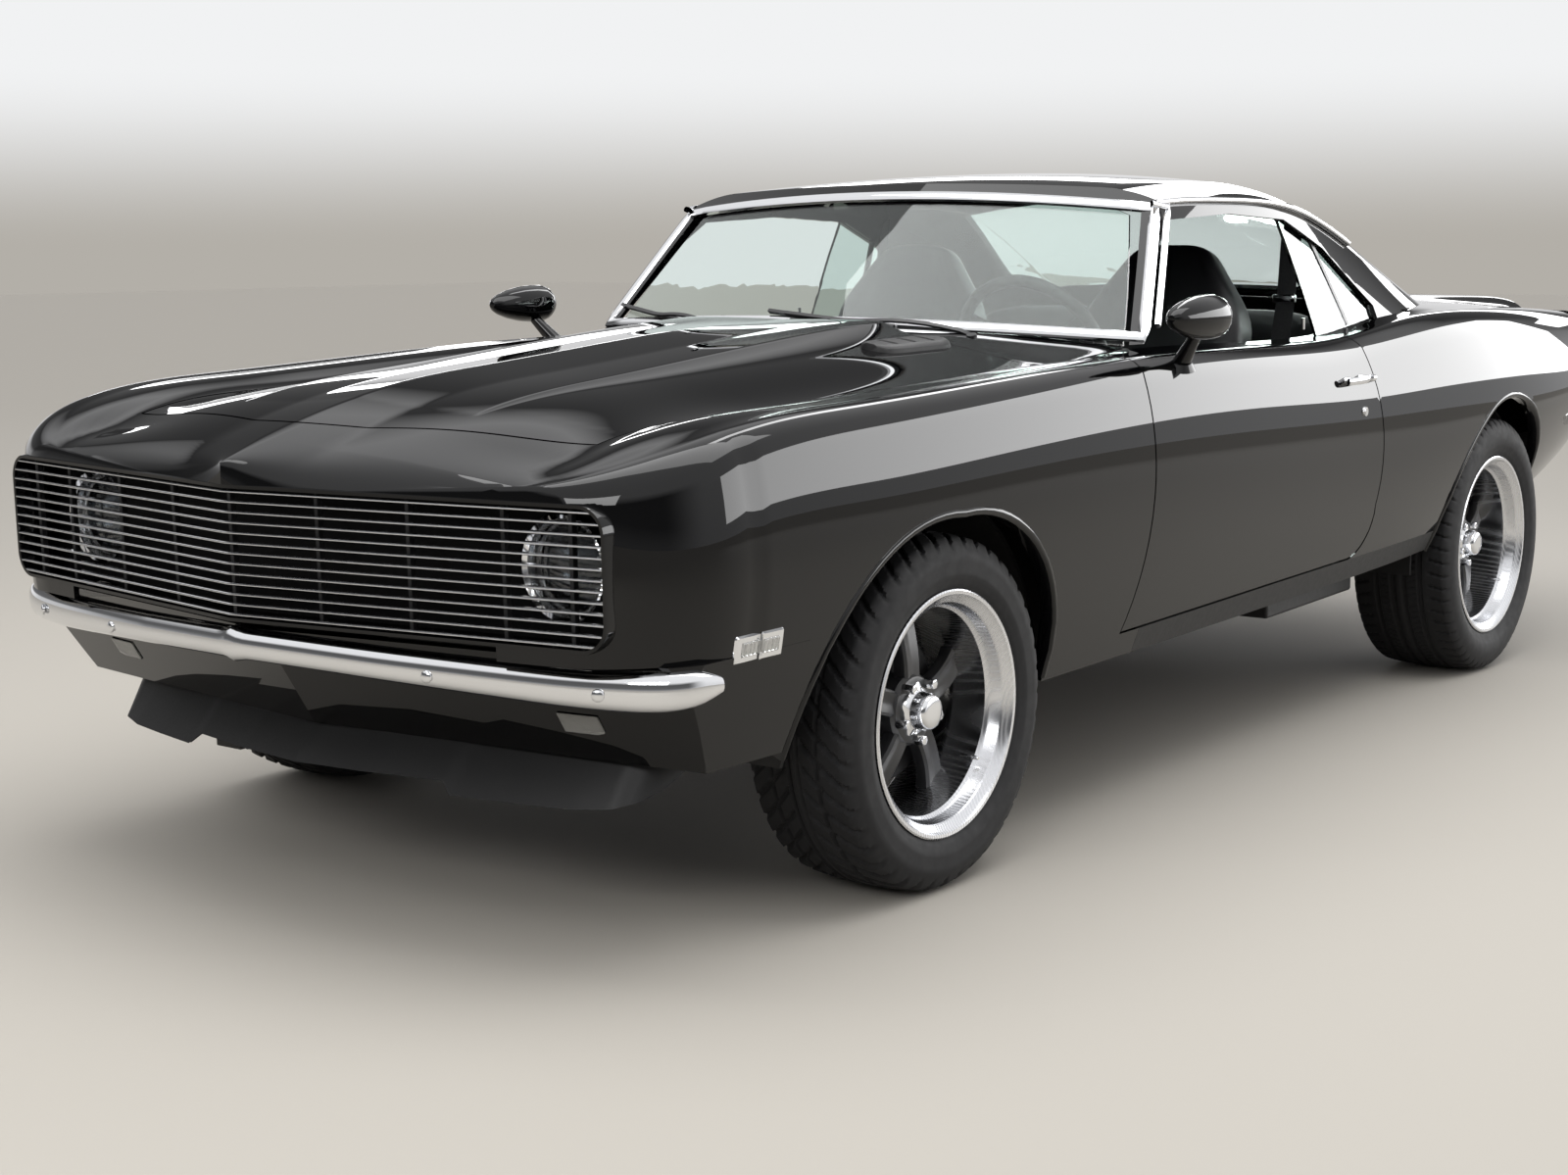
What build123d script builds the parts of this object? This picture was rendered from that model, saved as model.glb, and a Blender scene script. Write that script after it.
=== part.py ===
from build123d import *
import os
from math import cos, sin, radians

# Two-door muscle car of the late 1960s with a nose-down rake, on wide deep-dish wheels.
# Frame: +X is the car's left side, -Y its nose, +Z up, millimetres. The origin is on the ground
# under the middle of the car. Body pieces are drawn level, with stations S counted rearward from
# the front axle, and are then pitched nose-down by the rake. Wheels and knuckles stay level.

os.makedirs("parts", exist_ok=True)

# Driving dimensions
WHEELBASE = 2743.0
AXLE_Y = -1418.7          # front axle, from the origin
RAKE = 1.384              # body pitch, degrees, tail up
RAKE_Z = 650.0            # height of the point above the front axle that the body pitches about
GAP = 5.0                 # shut line round moving panels
SEAT = 0.3                # clearance where separate pieces sit on each other
SKIN_T = 30.0             # fender, quarter and nose walls
PANEL_T = 24.0            # hood, lid, cowl and deck thickness

FRONT_TYRE_R = 334.0
REAR_TYRE_R = 352.0
FRONT_TYRE_W = 240.0
REAR_TYRE_W = 284.0
FRONT_RIM_R = 216.0       # bead seat of a 17 inch wheel
REAR_RIM_R = 229.0        # bead seat of an 18 inch wheel
FRONT_RIM_W = 214.0
REAR_RIM_W = 248.0
FRONT_WHEEL_X = 770.0     # centre plane of the front tyres
REAR_WHEEL_X = 744.0
FRONT_FACE_X = 806.0      # outer face of the spokes at the hub
REAR_FACE_X = 790.0
KINGPIN_X = 688.0
SPINDLE_R = 22.0
SPINDLE_FIT = 0.05        # radial play of a hub on its spindle

# Body sections. Columns: s, low z, low x, crease x, crease z, shoulder x, shoulder z,
# top x, top z, crown z, side bulge
SECTIONS = [
    (-960, 378, 790, 862, 642, 838, 752, 742, 780, 826, 8),
    (-620, 345, 812, 888, 655, 866, 870, 790, 896, 920, 12),
    (-250, 330, 830, 908, 664, 882, 903, 814, 922, 950, 14),
    (200, 322, 838, 916, 668, 890, 910, 824, 930, 970, 14),
    (700, 320, 844, 916, 658, 890, 912, 830, 936, 984, 14),
    (1250, 318, 845, 911, 651, 882, 900, 820, 924, 970, 14),
    (1800, 318, 845, 909, 647, 874, 887, 806, 912, 956, 15),
    (2330, 322, 838, 916, 646, 872, 906, 790, 938, 972, 16),
    (2830, 345, 815, 916, 652, 864, 896, 768, 930, 962, 16),
    (3300, 405, 785, 888, 662, 828, 868, 735, 905, 934, 14),
    (3740, 485, 745, 838, 676, 786, 834, 700, 870, 890, 10),
]
UPPER_SAG = 0.7           # bulge above the crease, as a share of the bulge below
SHOULDER_SAG = 12.0       # rounding of the fender peak
TAIL_S = 3720.0
TAIL_T = 22.0

# Cabin block sections. Columns: s, base x, rail x, rail z, crown z
CABIN_BASE_Z = 800.0
CABIN = [
    (620, 818, 640, 1160, 1215),
    (1100, 822, 658, 1248, 1296),
    (1500, 822, 660, 1254, 1318),
    (1880, 816, 652, 1226, 1312),
    (2180, 806, 642, 1148, 1262),
    (2450, 790, 642, 1050, 1132),
    (2720, 765, 645, 950, 984),
    (2900, 740, 655, 880, 900),
]
ROOF_T = 28.0             # roof thickness, vertical
PILLAR_T = 44.0           # pillar thickness, sideways
GLASS_T = 6.0
GLASS_IN = 9.0            # how far glass sits inside the roof's surface

# Cabin, bays and floor
DOOR_IN_X = 752.0         # inner face of the doors
DOOR_SKIN_X = 862.0       # where the doors' outer flange starts
DOOR_STEP = 24.0          # how far the doors' inner box stands back from the flange
CABIN_X = DOOR_IN_X - GAP
CABIN_FRONT = 650.0
CABIN_REAR = 2440.0
FLOOR_Z = 350.0
FLOOR_T = 30.0
WALL_T = 20.0
SILL_X = 690.0            # inner side of the sills
TUNNEL_X = 130.0
TUNNEL_Z = 480.0
KICK_S = 2250.0           # where the floor steps up over the rear axle
TRUNK_FLOOR_Z = 500.0
ARCH_IN_X = 480.0         # inner wall of the front wheel houses
REAR_ARCH_IN_X = 585.0
FRONT_HOUSE_R = 400.0
REAR_HOUSE_R = 392.0
LINER_T = 8.0
BAY_X = 590.0             # side walls of the engine bay above the wheel houses

# Nose: two swept faces that meet on the centre line
NOSE_S = -934.0
NOSE_SWEEP = 0.149        # rearward run of the nose for each millimetre sideways
HEADER_X = 560.0
GRILLE_X = 770.0
GRILLE_LOW_Z = 573.0
GRILLE_TOP_Z = 806.0
GRILLE_CORNER_R = 45.0
BAR_COUNT = 17
BAR_H = 5.5
BAR_D = 12.0
RIB_X = (0, 190, 380, 570, 700)
RIB_W = 8.0
RIB_D = 16.0
LAMP_X = 613.0
LAMP_S = -727.0
LAMP_Z = 687.0
LAMP_R = 89.0
BACKING_D = 108.0         # lamp panel behind the bars
BACKING_T = 6.0
VALANCE_TOP_Z = 545.0
VALANCE_LOW_Z = 345.0
VALANCE_S = -868.0        # front of the valance at its top, centre line
VALANCE_SLOPE = 0.6       # rearward run for each millimetre down
VALANCE_REAR_S = -432.0

# Hood and lid outlines: half widths and stations of the corners and of the centre line
HOOD_FRONT_MID = -757.0
HOOD_FRONT = -632.0
HOOD_REAR = 664.0
HOOD_FRONT_X = 598.0
HOOD_REAR_X = 672.0
BULGE_H = 24.0
LID_FRONT = 2860.0
LID_REAR = 3690.0
LID_FRONT_X = 600.0
LID_REAR_X = 590.0
DUCKTAIL_H = 26.0

# Hinge pins of the hood, the lid and the doors, with the lugs that carry them
PIN_PLAY = 0.05
LID_HINGE_X = (-150.0, 150.0)
LID_PIN_R = 4.0
LUG_R = 6.0               # from the pin's axis to the lug's edges
CHEEK = 16.0              # half width of the boss that turns on a pin
HOOD_HINGE = (650.0, 990.0)   # station and height
TRUNK_HINGE = (2872.0, 966.0)
DOOR_HINGE = (899.0, 780.0)   # x and station
DOOR_PIN_R = 4.0
DOOR_EYE_R = 7.0
DOOR_LUG_Z = (606.0, 640.0)
DOOR_SWING = 62.0
DOOR_CORNER = (812.0, 800.0)  # the doors' inner front corner is cut back to here, to swing past the post

# Bumpers. Columns: x, s, z, height, depth, heading of the face in plan
FRONT_BUMPER = [
    (0, -939, 522, 52, 34, 8.5),
    (300, -893, 514, 54, 34, 9),
    (560, -840, 505, 58, 34, 14),
    (750, -790, 500, 60, 36, 32),
    (872, -722, 506, 58, 34, 60),
    (900, -604, 514, 46, 26, 80),
]
REAR_BUMPER = [
    (0, 3772, 560, 56, 34, 0),
    (360, 3766, 560, 56, 34, 4),
    (640, 3742, 560, 56, 34, 14),
    (790, 3680, 560, 56, 32, 38),
    (858, 3560, 560, 54, 28, 70),
    (880, 3420, 560, 46, 18, 84),
]

# Chin spoiler blade. Columns: x, s at the top, s at the bottom
CHIN = [(0, -744, -790), (480, -673, -722), (726, -618, -664)]
CHIN_T = 6.0
CHIN_TOP_Z = VALANCE_LOW_Z - SEAT
CHIN_LOW_Z = 262.0
CHIN_END_Z = 290.0        # bottom of the shallower ends
CHIN_NOTCH_X = 440.0


def body_y(s):
    return s + AXLE_Y


def raked(piece):
    """Pitches a level body piece to the car's stance."""
    return Pos(0, AXLE_Y, RAKE_Z) * Rot(RAKE, 0, 0) * Pos(0, -AXLE_Y, -RAKE_Z) * piece


def to_level(s, z):
    """Level station and height of a point given on the standing car."""
    turn = radians(RAKE)
    dz = z - RAKE_Z
    return s * cos(turn) + dz * sin(turn), RAKE_Z - s * sin(turn) + dz * cos(turn)


REAR_AXLE_S, REAR_AXLE_Z = to_level(WHEELBASE, REAR_TYRE_R)


def sagged(a, b, sag):
    """Arc from a to b that bulges by sag to the right of a-b."""
    dx, dz = b[0] - a[0], b[1] - a[1]
    size = (dx * dx + dz * dz) ** 0.5
    middle = ((a[0] + b[0]) / 2 + dz / size * sag, (a[1] + b[1]) / 2 - dx / size * sag)
    return ThreePointArc(a, middle, b)


def station_plane(s):
    return Plane(origin=(0, body_y(s), 0), x_dir=(1, 0, 0), z_dir=(0, -1, 0))


def body_section(row, inset, drop):
    s, low_z, low_x, crease_x, crease_z, sh_x, sh_z, top_x, top_z, crown_z, bulge = row
    low_x, crease_x, sh_x, top_x = (v - inset for v in (low_x, crease_x, sh_x, top_x))
    sh_z, top_z, crown_z = (v - drop for v in (sh_z, top_z, crown_z))
    low_z -= max(inset, 0)
    with BuildLine(station_plane(s)) as wire:
        Line((-low_x, low_z), (low_x, low_z))
        sagged((low_x, low_z), (crease_x, crease_z), bulge)
        sagged((crease_x, crease_z), (sh_x, sh_z), bulge * UPPER_SAG)
        sagged((sh_x, sh_z), (top_x, top_z), SHOULDER_SAG)
        ThreePointArc((top_x, top_z), (0, crown_z), (-top_x, top_z))
        sagged((-top_x, top_z), (-sh_x, sh_z), SHOULDER_SAG)
        sagged((-sh_x, sh_z), (-crease_x, crease_z), bulge * UPPER_SAG)
        sagged((-crease_x, crease_z), (-low_x, low_z), bulge)
    return wire.wire()


def body_form(inset=0.0, drop=0.0):
    return Solid.make_loft([body_section(row, inset, drop) for row in SECTIONS])


def cabin_section(row, inset, drop):
    s, base_x, rail_x, rail_z, crown_z = row
    base_x, rail_x = base_x - inset, rail_x - inset
    rail_z, crown_z = rail_z - drop, crown_z - drop
    edge_x = rail_x - 150
    edge_z = rail_z + (crown_z - rail_z) * 0.62
    base_z = CABIN_BASE_Z - inset * 0.5
    with BuildLine(station_plane(s)) as wire:
        Line((-base_x, base_z), (base_x, base_z))
        sagged((base_x, base_z), (rail_x, rail_z), 7)
        sagged((rail_x, rail_z), (edge_x, edge_z), 6)
        ThreePointArc((edge_x, edge_z), (0, crown_z), (-edge_x, edge_z))
        sagged((-edge_x, edge_z), (-rail_x, rail_z), 6)
        sagged((-rail_x, rail_z), (-base_x, base_z), 7)
    return wire.wire()


def cabin_form(inset=0.0, drop=0.0):
    return Solid.make_loft([cabin_section(row, inset, drop) for row in CABIN])


SIDE = Plane(origin=(0, AXLE_Y, 0), x_dir=(0, 1, 0), z_dir=(1, 0, 0))
GROUND = Plane(origin=(0, AXLE_Y, 0))


def side_prism(draw, x_from, x_to):
    """Prism along X of the outline that draw makes in (s, z)."""
    with BuildLine(SIDE) as wire:
        draw()
    face = Face(wire.wire()).moved(Location((x_from, 0, 0)))
    return Solid.extrude(face, Vector(x_to - x_from, 0, 0))


def plan_prism(points, z_from, z_to, run=0.0):
    """Prism upward of an outline in (x, s), which may lean rearward by run."""
    with BuildLine(GROUND) as wire:
        Polyline(*points, close=True)
    face = Face(wire.wire()).moved(Location((0, 0, z_from)))
    return Solid.extrude(face, Vector(0, run, z_to - z_from))


def box_s(x0, x1, s0, s1, z0, z1):
    """Box between two stations."""
    return Pos((x0 + x1) / 2, body_y((s0 + s1) / 2), (z0 + z1) / 2) * Box(x1 - x0, s1 - s0, z1 - z0)


def rod(a, b, r):
    """Round bar between two points given as (x, s, z)."""
    a = Vector(a[0], body_y(a[1]), a[2])
    b = Vector(b[0], body_y(b[1]), b[2])
    return Solid.make_cylinder(r, (b - a).length, Plane(origin=a, z_dir=b - a))


def mirror_x(piece):
    return mirror(piece, about=Plane.YZ)


def both(piece):
    return piece + mirror_x(piece)


def solids_of(shape):
    if isinstance(shape, (list, tuple)):
        return [s for item in shape for s in solids_of(item)]
    return list(shape.solids())


def hinged(panel, carrier, s, z, carrier_s):
    """Adds lugs with pins to the carrier, and bored bosses on them to the panel."""
    low, high = sorted((carrier_s, s + (LUG_R if carrier_s < s else -LUG_R)))
    for x in LID_HINGE_X:
        panel += box_s(x - CHEEK, x + CHEEK, s - LUG_R, s + LUG_R, z - CHEEK, z + LUG_R)
        slot_low, slot_high = min(low, s - GAP) - GAP, max(high, s + GAP) + GAP
        panel -= box_s(x - LUG_R - 2, x + LUG_R + 2, slot_low, slot_high, z - 50, z + 50)
        panel -= rod((x - CHEEK, s, z), (x + CHEEK, s, z), LID_PIN_R + PIN_PLAY)
        carrier += box_s(x - LUG_R, x + LUG_R, low, high, z - 14, z + LUG_R)
        carrier += rod((x - CHEEK + 2, s, z), (x + CHEEK - 2, s, z), LID_PIN_R)
    return panel, carrier


PARTS = {}


def keep(name, *shapes, level=True, count=1):
    """Stores a node from its largest solids. Level body pieces are raked."""
    found = sorted(solids_of(shapes), key=lambda s: -s.volume)[:count]
    if level:
        found = [raked(s) for s in found]
    PARTS[name] = Compound(children=found) if count > 1 else found[0]


def keep_pair(name, shape, level=True):
    keep(f"{name}_left", shape, level=level)
    keep(f"{name}_right", mirror_x(shape), level=level)


def nose_region(offset, run=0.0, x=1000.0, z_from=100.0, z_to=1100.0, back=5000.0):
    """All behind the swept nose, moved rearward by offset."""
    side = NOSE_S + NOSE_SWEEP * x + offset
    points = [(0, NOSE_S + offset), (x, side), (x, back), (-x, back), (-x, side)]
    return plan_prism(points, z_from, z_to, run)


def plan_block(inset):
    """The body's plan: swept nose, rounded corners, bowed tail."""
    far = 1000.0
    nose = NOSE_S + inset
    corner_x, corner_s = 720.0 - inset, NOSE_S + NOSE_SWEEP * (720.0 - inset) + inset
    with BuildLine(GROUND) as wire:
        for side in (1, -1):
            Line((0, nose), (side * corner_x, corner_s))
            arc_end = (side * (886 - inset), -560)
            ThreePointArc((side * corner_x, corner_s), (side * (828 - inset), -752 + inset * 0.6), arc_end)
            Line(arc_end, (side * far, -500))
            Line((side * far, -500), (side * far, 3300))
            tail_start = (side * (880 - inset), 3380)
            Line((side * far, 3300), tail_start)
            tail_end = (side * (700 - inset), 3712 - inset)
            ThreePointArc(tail_start, (side * (850 - inset), 3610 - inset * 0.6), tail_end)
            ThreePointArc(tail_end, (side * 360, TAIL_S - 2 - inset), (0, TAIL_S - inset))
    face = Face(wire.wire()).moved(Location((0, 0, 100)))
    return Solid.extrude(face, Vector(0, 0, 1000))


# Body forms
outer = body_form() & plan_block(0)
core = body_form(SKIN_T, SKIN_T) & plan_block(SKIN_T)
lowered = body_form(0, PANEL_T)
cabin = cabin_form()
cabin_inner = cabin_form(PILLAR_T, ROOF_T)


# Wheel openings
def front_arch():
    Line((-432, 200), (-432, 330))
    ThreePointArc((-432, 330), (-310, 610), (0, 709))
    ThreePointArc((0, 709), (268, 610), (384, 330))
    Line((384, 330), (384, 200))
    Line((384, 200), (-432, 200))


def rear_arch():
    s, z = REAR_AXLE_S, 318.0
    Line((s - 388, 180), (s - 388, z))
    ThreePointArc((s - 388, z), (s, z + 384), (s + 384, z))
    Line((s + 384, z), (s + 384, 180))
    Line((s + 384, 180), (s - 388, 180))


def house(s, z, radius, inner_x, outer_x):
    """Space of a wheel: a drum, open downward."""
    drum = Pos((inner_x + outer_x) / 2, body_y(s), z) * Rot(0, 90, 0) * Cylinder(radius, outer_x - inner_x)
    return drum + box_s(inner_x, outer_x, s - radius, s + radius, 100, z)


front_house = house(0, FRONT_TYRE_R, FRONT_HOUSE_R, ARCH_IN_X, 820)
rear_house = house(REAR_AXLE_S, REAR_AXLE_Z, REAR_HOUSE_R, REAR_ARCH_IN_X, 805)
openings = both(side_prism(front_arch, 815, 1100)) + both(side_prism(rear_arch, 800, 1100))
houses = both(front_house) + both(rear_house)


# Door outline in side view, grown by the shut line for its hole
def door_side(grow):
    def draw():
        Line((690 - grow, 1000), (1752 + grow, 1000))
        ThreePointArc((1752 + grow, 1000), (1858 + grow, 790), (1872 + grow, 500))
        ThreePointArc((1872 + grow, 500), (1850 + grow, 412 - grow), (1780 + grow, 378 - grow))
        Line((1780 + grow, 378 - grow), (664 - grow, 378 - grow))
        ThreePointArc((664 - grow, 378 - grow), (712 - grow, 660), (690 - grow, 1000))

    return draw


door_hole = side_prism(door_side(GAP), CABIN_X, 1100)
skin = outer - core - houses - openings - both(door_hole)


def hood_plan(grow):
    return plan_prism(
        [
            (0, HOOD_FRONT_MID - grow),
            (HOOD_FRONT_X + grow, HOOD_FRONT - grow),
            (HOOD_REAR_X + grow, HOOD_REAR + grow),
            (-HOOD_REAR_X - grow, HOOD_REAR + grow),
            (-HOOD_FRONT_X - grow, HOOD_FRONT - grow),
        ],
        760,
        1150,
    )


def lid_plan(grow):
    return plan_prism(
        [
            (-LID_FRONT_X - grow, LID_FRONT - grow),
            (LID_FRONT_X + grow, LID_FRONT - grow),
            (LID_REAR_X + grow, LID_REAR + grow),
            (-LID_REAR_X - grow, LID_REAR + grow),
        ],
        820,
        1100,
    )


hood_cut = hood_plan(GAP)
lid_cut = lid_plan(GAP)
mouth_face = RectangleRounded(2 * GRILLE_X, GRILLE_TOP_Z - GRILLE_LOW_Z, GRILLE_CORNER_R)
mouth_z = (GRILLE_LOW_Z + GRILLE_TOP_Z) / 2
grille_mouth = Pos(0, body_y(-850), mouth_z) * Rot(90, 0, 0) * extrude(mouth_face, 150, both=True)

# Fenders, from the nose to the doors
cowl_x = HOOD_REAR_X + GAP
cowl_s = HOOD_REAR + GAP
FENDER_REAR = 742.0
fender_zone = box_s(HEADER_X, 1100, -1100, cowl_s, 200, 1100)
fender_zone += box_s(cowl_x, 1100, cowl_s, FENDER_REAR, 200, 1100)
fender_zone -= box_s(0, 1100, -1100, VALANCE_REAR_S, 200, VALANCE_TOP_Z)
keep_pair("fender", (skin & fender_zone) - hood_cut - grille_mouth)

# Wheel-house liners with the bay's side walls
liner = house(0, FRONT_TYRE_R, FRONT_HOUSE_R + LINER_T, ARCH_IN_X - LINER_T, 815)
liner += box_s(BAY_X, BAY_X + LINER_T, -540, 540, 600, 1000)
liner = (liner & core) - front_house - hood_cut - box_s(0, 1000, -600, 600, 0, 260)
liner -= box_s(ARCH_IN_X - 20, ARCH_IN_X + 10, -110, 110, 0, 475)
keep("inner_fenders", liner, mirror_x(liner), count=2)

# Header panel between the fenders, above the grille
header = skin & box_s(-HEADER_X, HEADER_X, -1100, HOOD_FRONT, 700, 1100)
keep("header_panel", header - hood_cut - grille_mouth)


# Valance under the bumper, leaning back as it goes down
def valance_block(offset, z_from):
    drop = VALANCE_TOP_Z - z_from
    start = VALANCE_S - NOSE_S + offset + drop * VALANCE_SLOPE
    return nose_region(start, -drop * VALANCE_SLOPE, z_from=z_from, z_to=VALANCE_TOP_Z, back=600.0)


valance = (outer & valance_block(0, VALANCE_LOW_Z)) - (body_form(SKIN_T, SKIN_T) & valance_block(SKIN_T, 300))
valance &= box_s(-1000, 1000, -1000, VALANCE_REAR_S, 300, VALANCE_TOP_Z)
valance = valance - houses - openings
turn_lamp = box_s(567, 647, -760, -690, 400, 436) & valance_block(-3, VALANCE_LOW_Z) & outer
turn_lamp -= valance_block(SKIN_T, 300)
keep("turn_lamps", turn_lamp, mirror_x(turn_lamp), count=2)
keep("front_valance", valance - both(turn_lamp))


# Matte chin spoiler: a thin blade that leans forward, shallower outside its two notches
def chin_wire(column, z):
    ahead = [(row[0], row[column]) for row in CHIN]
    ahead = [(-x, s) for x, s in ahead[:0:-1]] + ahead
    behind = [(x, s + CHIN_T) for x, s in reversed(ahead)]
    with BuildLine(Plane(origin=(0, AXLE_Y, z))) as wire:
        Polyline(*ahead, *behind, close=True)
    return wire.wire()


chin = Solid.make_loft([chin_wire(2, CHIN_LOW_Z), chin_wire(1, CHIN_TOP_Z)], ruled=True)
chin -= both(box_s(CHIN_NOTCH_X, 800, -900, -400, CHIN_LOW_Z - 10, CHIN_END_Z))
keep("chin_spoiler", chin)


# Blade bumpers: a rounded face with a flat back, lofted along their plan
def bumper_half(table, facing):
    wires = []
    for x, s, z, height, depth, heading in table:
        turn = radians(heading)
        inward = (-sin(turn), -facing * cos(turn))
        plane = Plane(origin=(x, body_y(s), z), x_dir=(*inward, 0), z_dir=(-inward[1], inward[0], 0))
        half = height / 2
        with BuildLine(plane) as wire:
            Line((depth, -half), (depth, half))
            ThreePointArc((depth, half), (depth * 0.14, half * 0.62), (0, 0))
            ThreePointArc((0, 0), (depth * 0.14, -half * 0.62), (depth, -half))
        wires.append(wire.wire())
    straight = 3  # sections of the straight middle run; the wrapped end is lofted smooth
    return Solid.make_loft(wires[:straight], ruled=True) + Solid.make_loft(wires[straight - 1:])


grown = body_form(-SEAT, 0) & plan_block(-SEAT)
behind_bumper = grown & (valance_block(-SEAT, 300) + box_s(-1000, 1000, -1100, 0, VALANCE_TOP_Z - SEAT, 700))
front_half = (bumper_half(FRONT_BUMPER, -1) & box_s(0, 1000, -1100, 0, 300, 700)) - behind_bumper
rear_half = (bumper_half(REAR_BUMPER, 1) & box_s(0, 1000, 3000, 4000, 300, 700)) - grown
keep("bumper_front", both(front_half))
keep("bumper_rear", both(rear_half))

# Billet grille: V bars carried by upright ribs
pieces = []
pitch = (GRILLE_TOP_Z - GRILLE_LOW_Z) / BAR_COUNT
for index in range(BAR_COUNT):
    z = GRILLE_LOW_Z + pitch * (index + 0.5) - BAR_H / 2
    bar = nose_region(0, x=GRILLE_X + 10, z_from=z, z_to=z + BAR_H)
    pieces.append(bar - nose_region(BAR_D, x=GRILLE_X + 20, z_from=z - 1, z_to=z + BAR_H + 1))
for x in RIB_X:
    s = NOSE_S + NOSE_SWEEP * x + BAR_D - 4
    rib = box_s(x - RIB_W / 2, x + RIB_W / 2, s, s + RIB_D, GRILLE_LOW_Z, GRILLE_TOP_Z)
    pieces += [rib] if x == 0 else [rib, mirror_x(rib)]
grille = pieces[0].fuse(*pieces[1:]) & grille_mouth
keep("grille", grille)

# Lamp panel behind the bars, with the headlamps through it
backing = nose_region(BACKING_D, x=GRILLE_X + 60, z_from=GRILLE_LOW_Z - 12, z_to=GRILLE_TOP_Z + 12)
backing = (backing - nose_region(BACKING_D + BACKING_T, x=GRILLE_X + 70, z_from=500, z_to=900)) & core
lamp_hole = Pos(LAMP_X, body_y(LAMP_S), LAMP_Z) * Rot(90, 0, 0) * Cylinder(LAMP_R + SEAT, 240)
keep("lamp_panel", backing - both(lamp_hole))
with BuildLine(Plane.XZ) as lamp_line:
    Line((0, 74), (0, -18))
    ThreePointArc((0, -18), (LAMP_R * 0.6, -13), (LAMP_R, 0))
    Line((LAMP_R, 0), (LAMP_R, 30))
    Line((LAMP_R, 30), (45, 74))
    Line((45, 74), (0, 74))
lamp = Pos(LAMP_X, body_y(LAMP_S), LAMP_Z) * Rot(-90, 0, 0) * revolve(Face(lamp_line.wire()), Axis.Z)
keep("headlamps", lamp, mirror_x(lamp), count=2)

# Hood with its raised centre, which narrows to a point ahead
bulge_points = [(0, -560), (140, -470), (330, HOOD_REAR - 6), (-330, HOOD_REAR - 6), (-140, -470)]
raised = outer.moved(Location((0, 0, BULGE_H))) & plan_prism(bulge_points, 760, 1150)
hood = ((outer & hood_plan(0)) + raised) - lowered

# Doors: an outer flange and a box that fills the opening to the cabin
door = outer & side_prism(door_side(0), DOOR_SKIN_X, 1100)
door += outer & side_prism(door_side(-DOOR_STEP), DOOR_IN_X, DOOR_SKIN_X + 1)

# Door hinge: a post by the firewall reaches out to a pin close under the door's skin. The pocket in
# the door is the reach of that lug as the door swings.
hinge_x, hinge_s = DOOR_HINGE
lug_low, lug_high = DOOR_LUG_Z
POST_X = CABIN_X - 2
door_post = box_s(SILL_X - 1, POST_X, CABIN_FRONT - WALL_T, hinge_s + 14, FLOOR_Z - FLOOR_T, 655)
door_lug = box_s(POST_X - 1, hinge_x, hinge_s - DOOR_EYE_R, hinge_s + DOOR_EYE_R, lug_low, lug_high)
door_lug += rod((hinge_x, hinge_s, lug_low), (hinge_x, hinge_s, lug_high), DOOR_EYE_R)
door_lug += rod((hinge_x, hinge_s, lug_low - 16), (hinge_x, hinge_s, lug_high + 16), DOOR_PIN_R)
swing = radians(DOOR_SWING + 3)
reach = hinge_x - DOOR_IN_X + 30
edge = (hinge_x + 10 * sin(swing), hinge_s - 10 * cos(swing))
pocket_plan = [
    (hinge_x, hinge_s + 12),
    (hinge_x - reach, hinge_s + 12),
    (hinge_x - reach, hinge_s - reach),
    (edge[0] - reach * cos(swing), edge[1] - reach * sin(swing)),
    edge,
    (hinge_x + 10, hinge_s + 2),
]
door -= plan_prism(pocket_plan, lug_low - 6, lug_high + 6)
door -= box_s(DOOR_IN_X - 1, DOOR_CORNER[0], 600, DOOR_CORNER[1], 300, 1100)
door -= rod((hinge_x, hinge_s, lug_low - 18), (hinge_x, hinge_s, lug_high + 18), DOOR_PIN_R + PIN_PLAY)
keep_pair("door", door)

# Roof, pillars and sail panels in one pressing
WS_MID = 791.0            # windshield base on the centre line
WS_CORNER_S = 916.0
WS_CORNER_X = 761.0
WS_LOW_Z = 946.0
WS_LEAN = 0.938           # rearward run for each millimetre up
WS_BOTTOM = 840.0
WS_TOP = 1400.0


def ahead_of_glass(offset):
    """All ahead of the windshield's curved face, moved rearward by offset."""
    shift = (WS_BOTTOM - WS_LOW_Z) * WS_LEAN + offset
    x, s = WS_CORNER_X + 90, WS_CORNER_S + 34 + shift
    with BuildLine(GROUND) as wire:
        ThreePointArc((-x, s), (0, WS_MID + shift), (x, s))
        Polyline((x, s), (x, -800), (-x, -800), (-x, s))
    face = Face(wire.wire()).moved(Location((0, 0, WS_BOTTOM)))
    return Solid.extrude(face, Vector(0, WS_LEAN * (WS_TOP - WS_BOTTOM), WS_TOP - WS_BOTTOM))


def window_side():
    Polyline((640, 900), (930, 952), (1130, 1160), (1200, 1208), (1500, 1216), (1800, 1196), (2000, 1120))
    Polyline((2000, 1120), (2215, 968), (2205, 930), (2150, 900), (640, 900))


side_window = side_prism(window_side, 300, 1100)
rear_window_plan = [(-480, 2150), (480, 2150), (600, 2640), (560, 2690), (-560, 2690), (-600, 2640)]
rear_window = plan_prism(rear_window_plan, 900, 1400)
roof = cabin - cabin_inner - ahead_of_glass(0) - both(side_window) - rear_window
door_clearance = outer.moved(Location((0, 0, GAP + 1))) & both(door_hole)
keep("roof", roof - outer - door_clearance)

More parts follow.
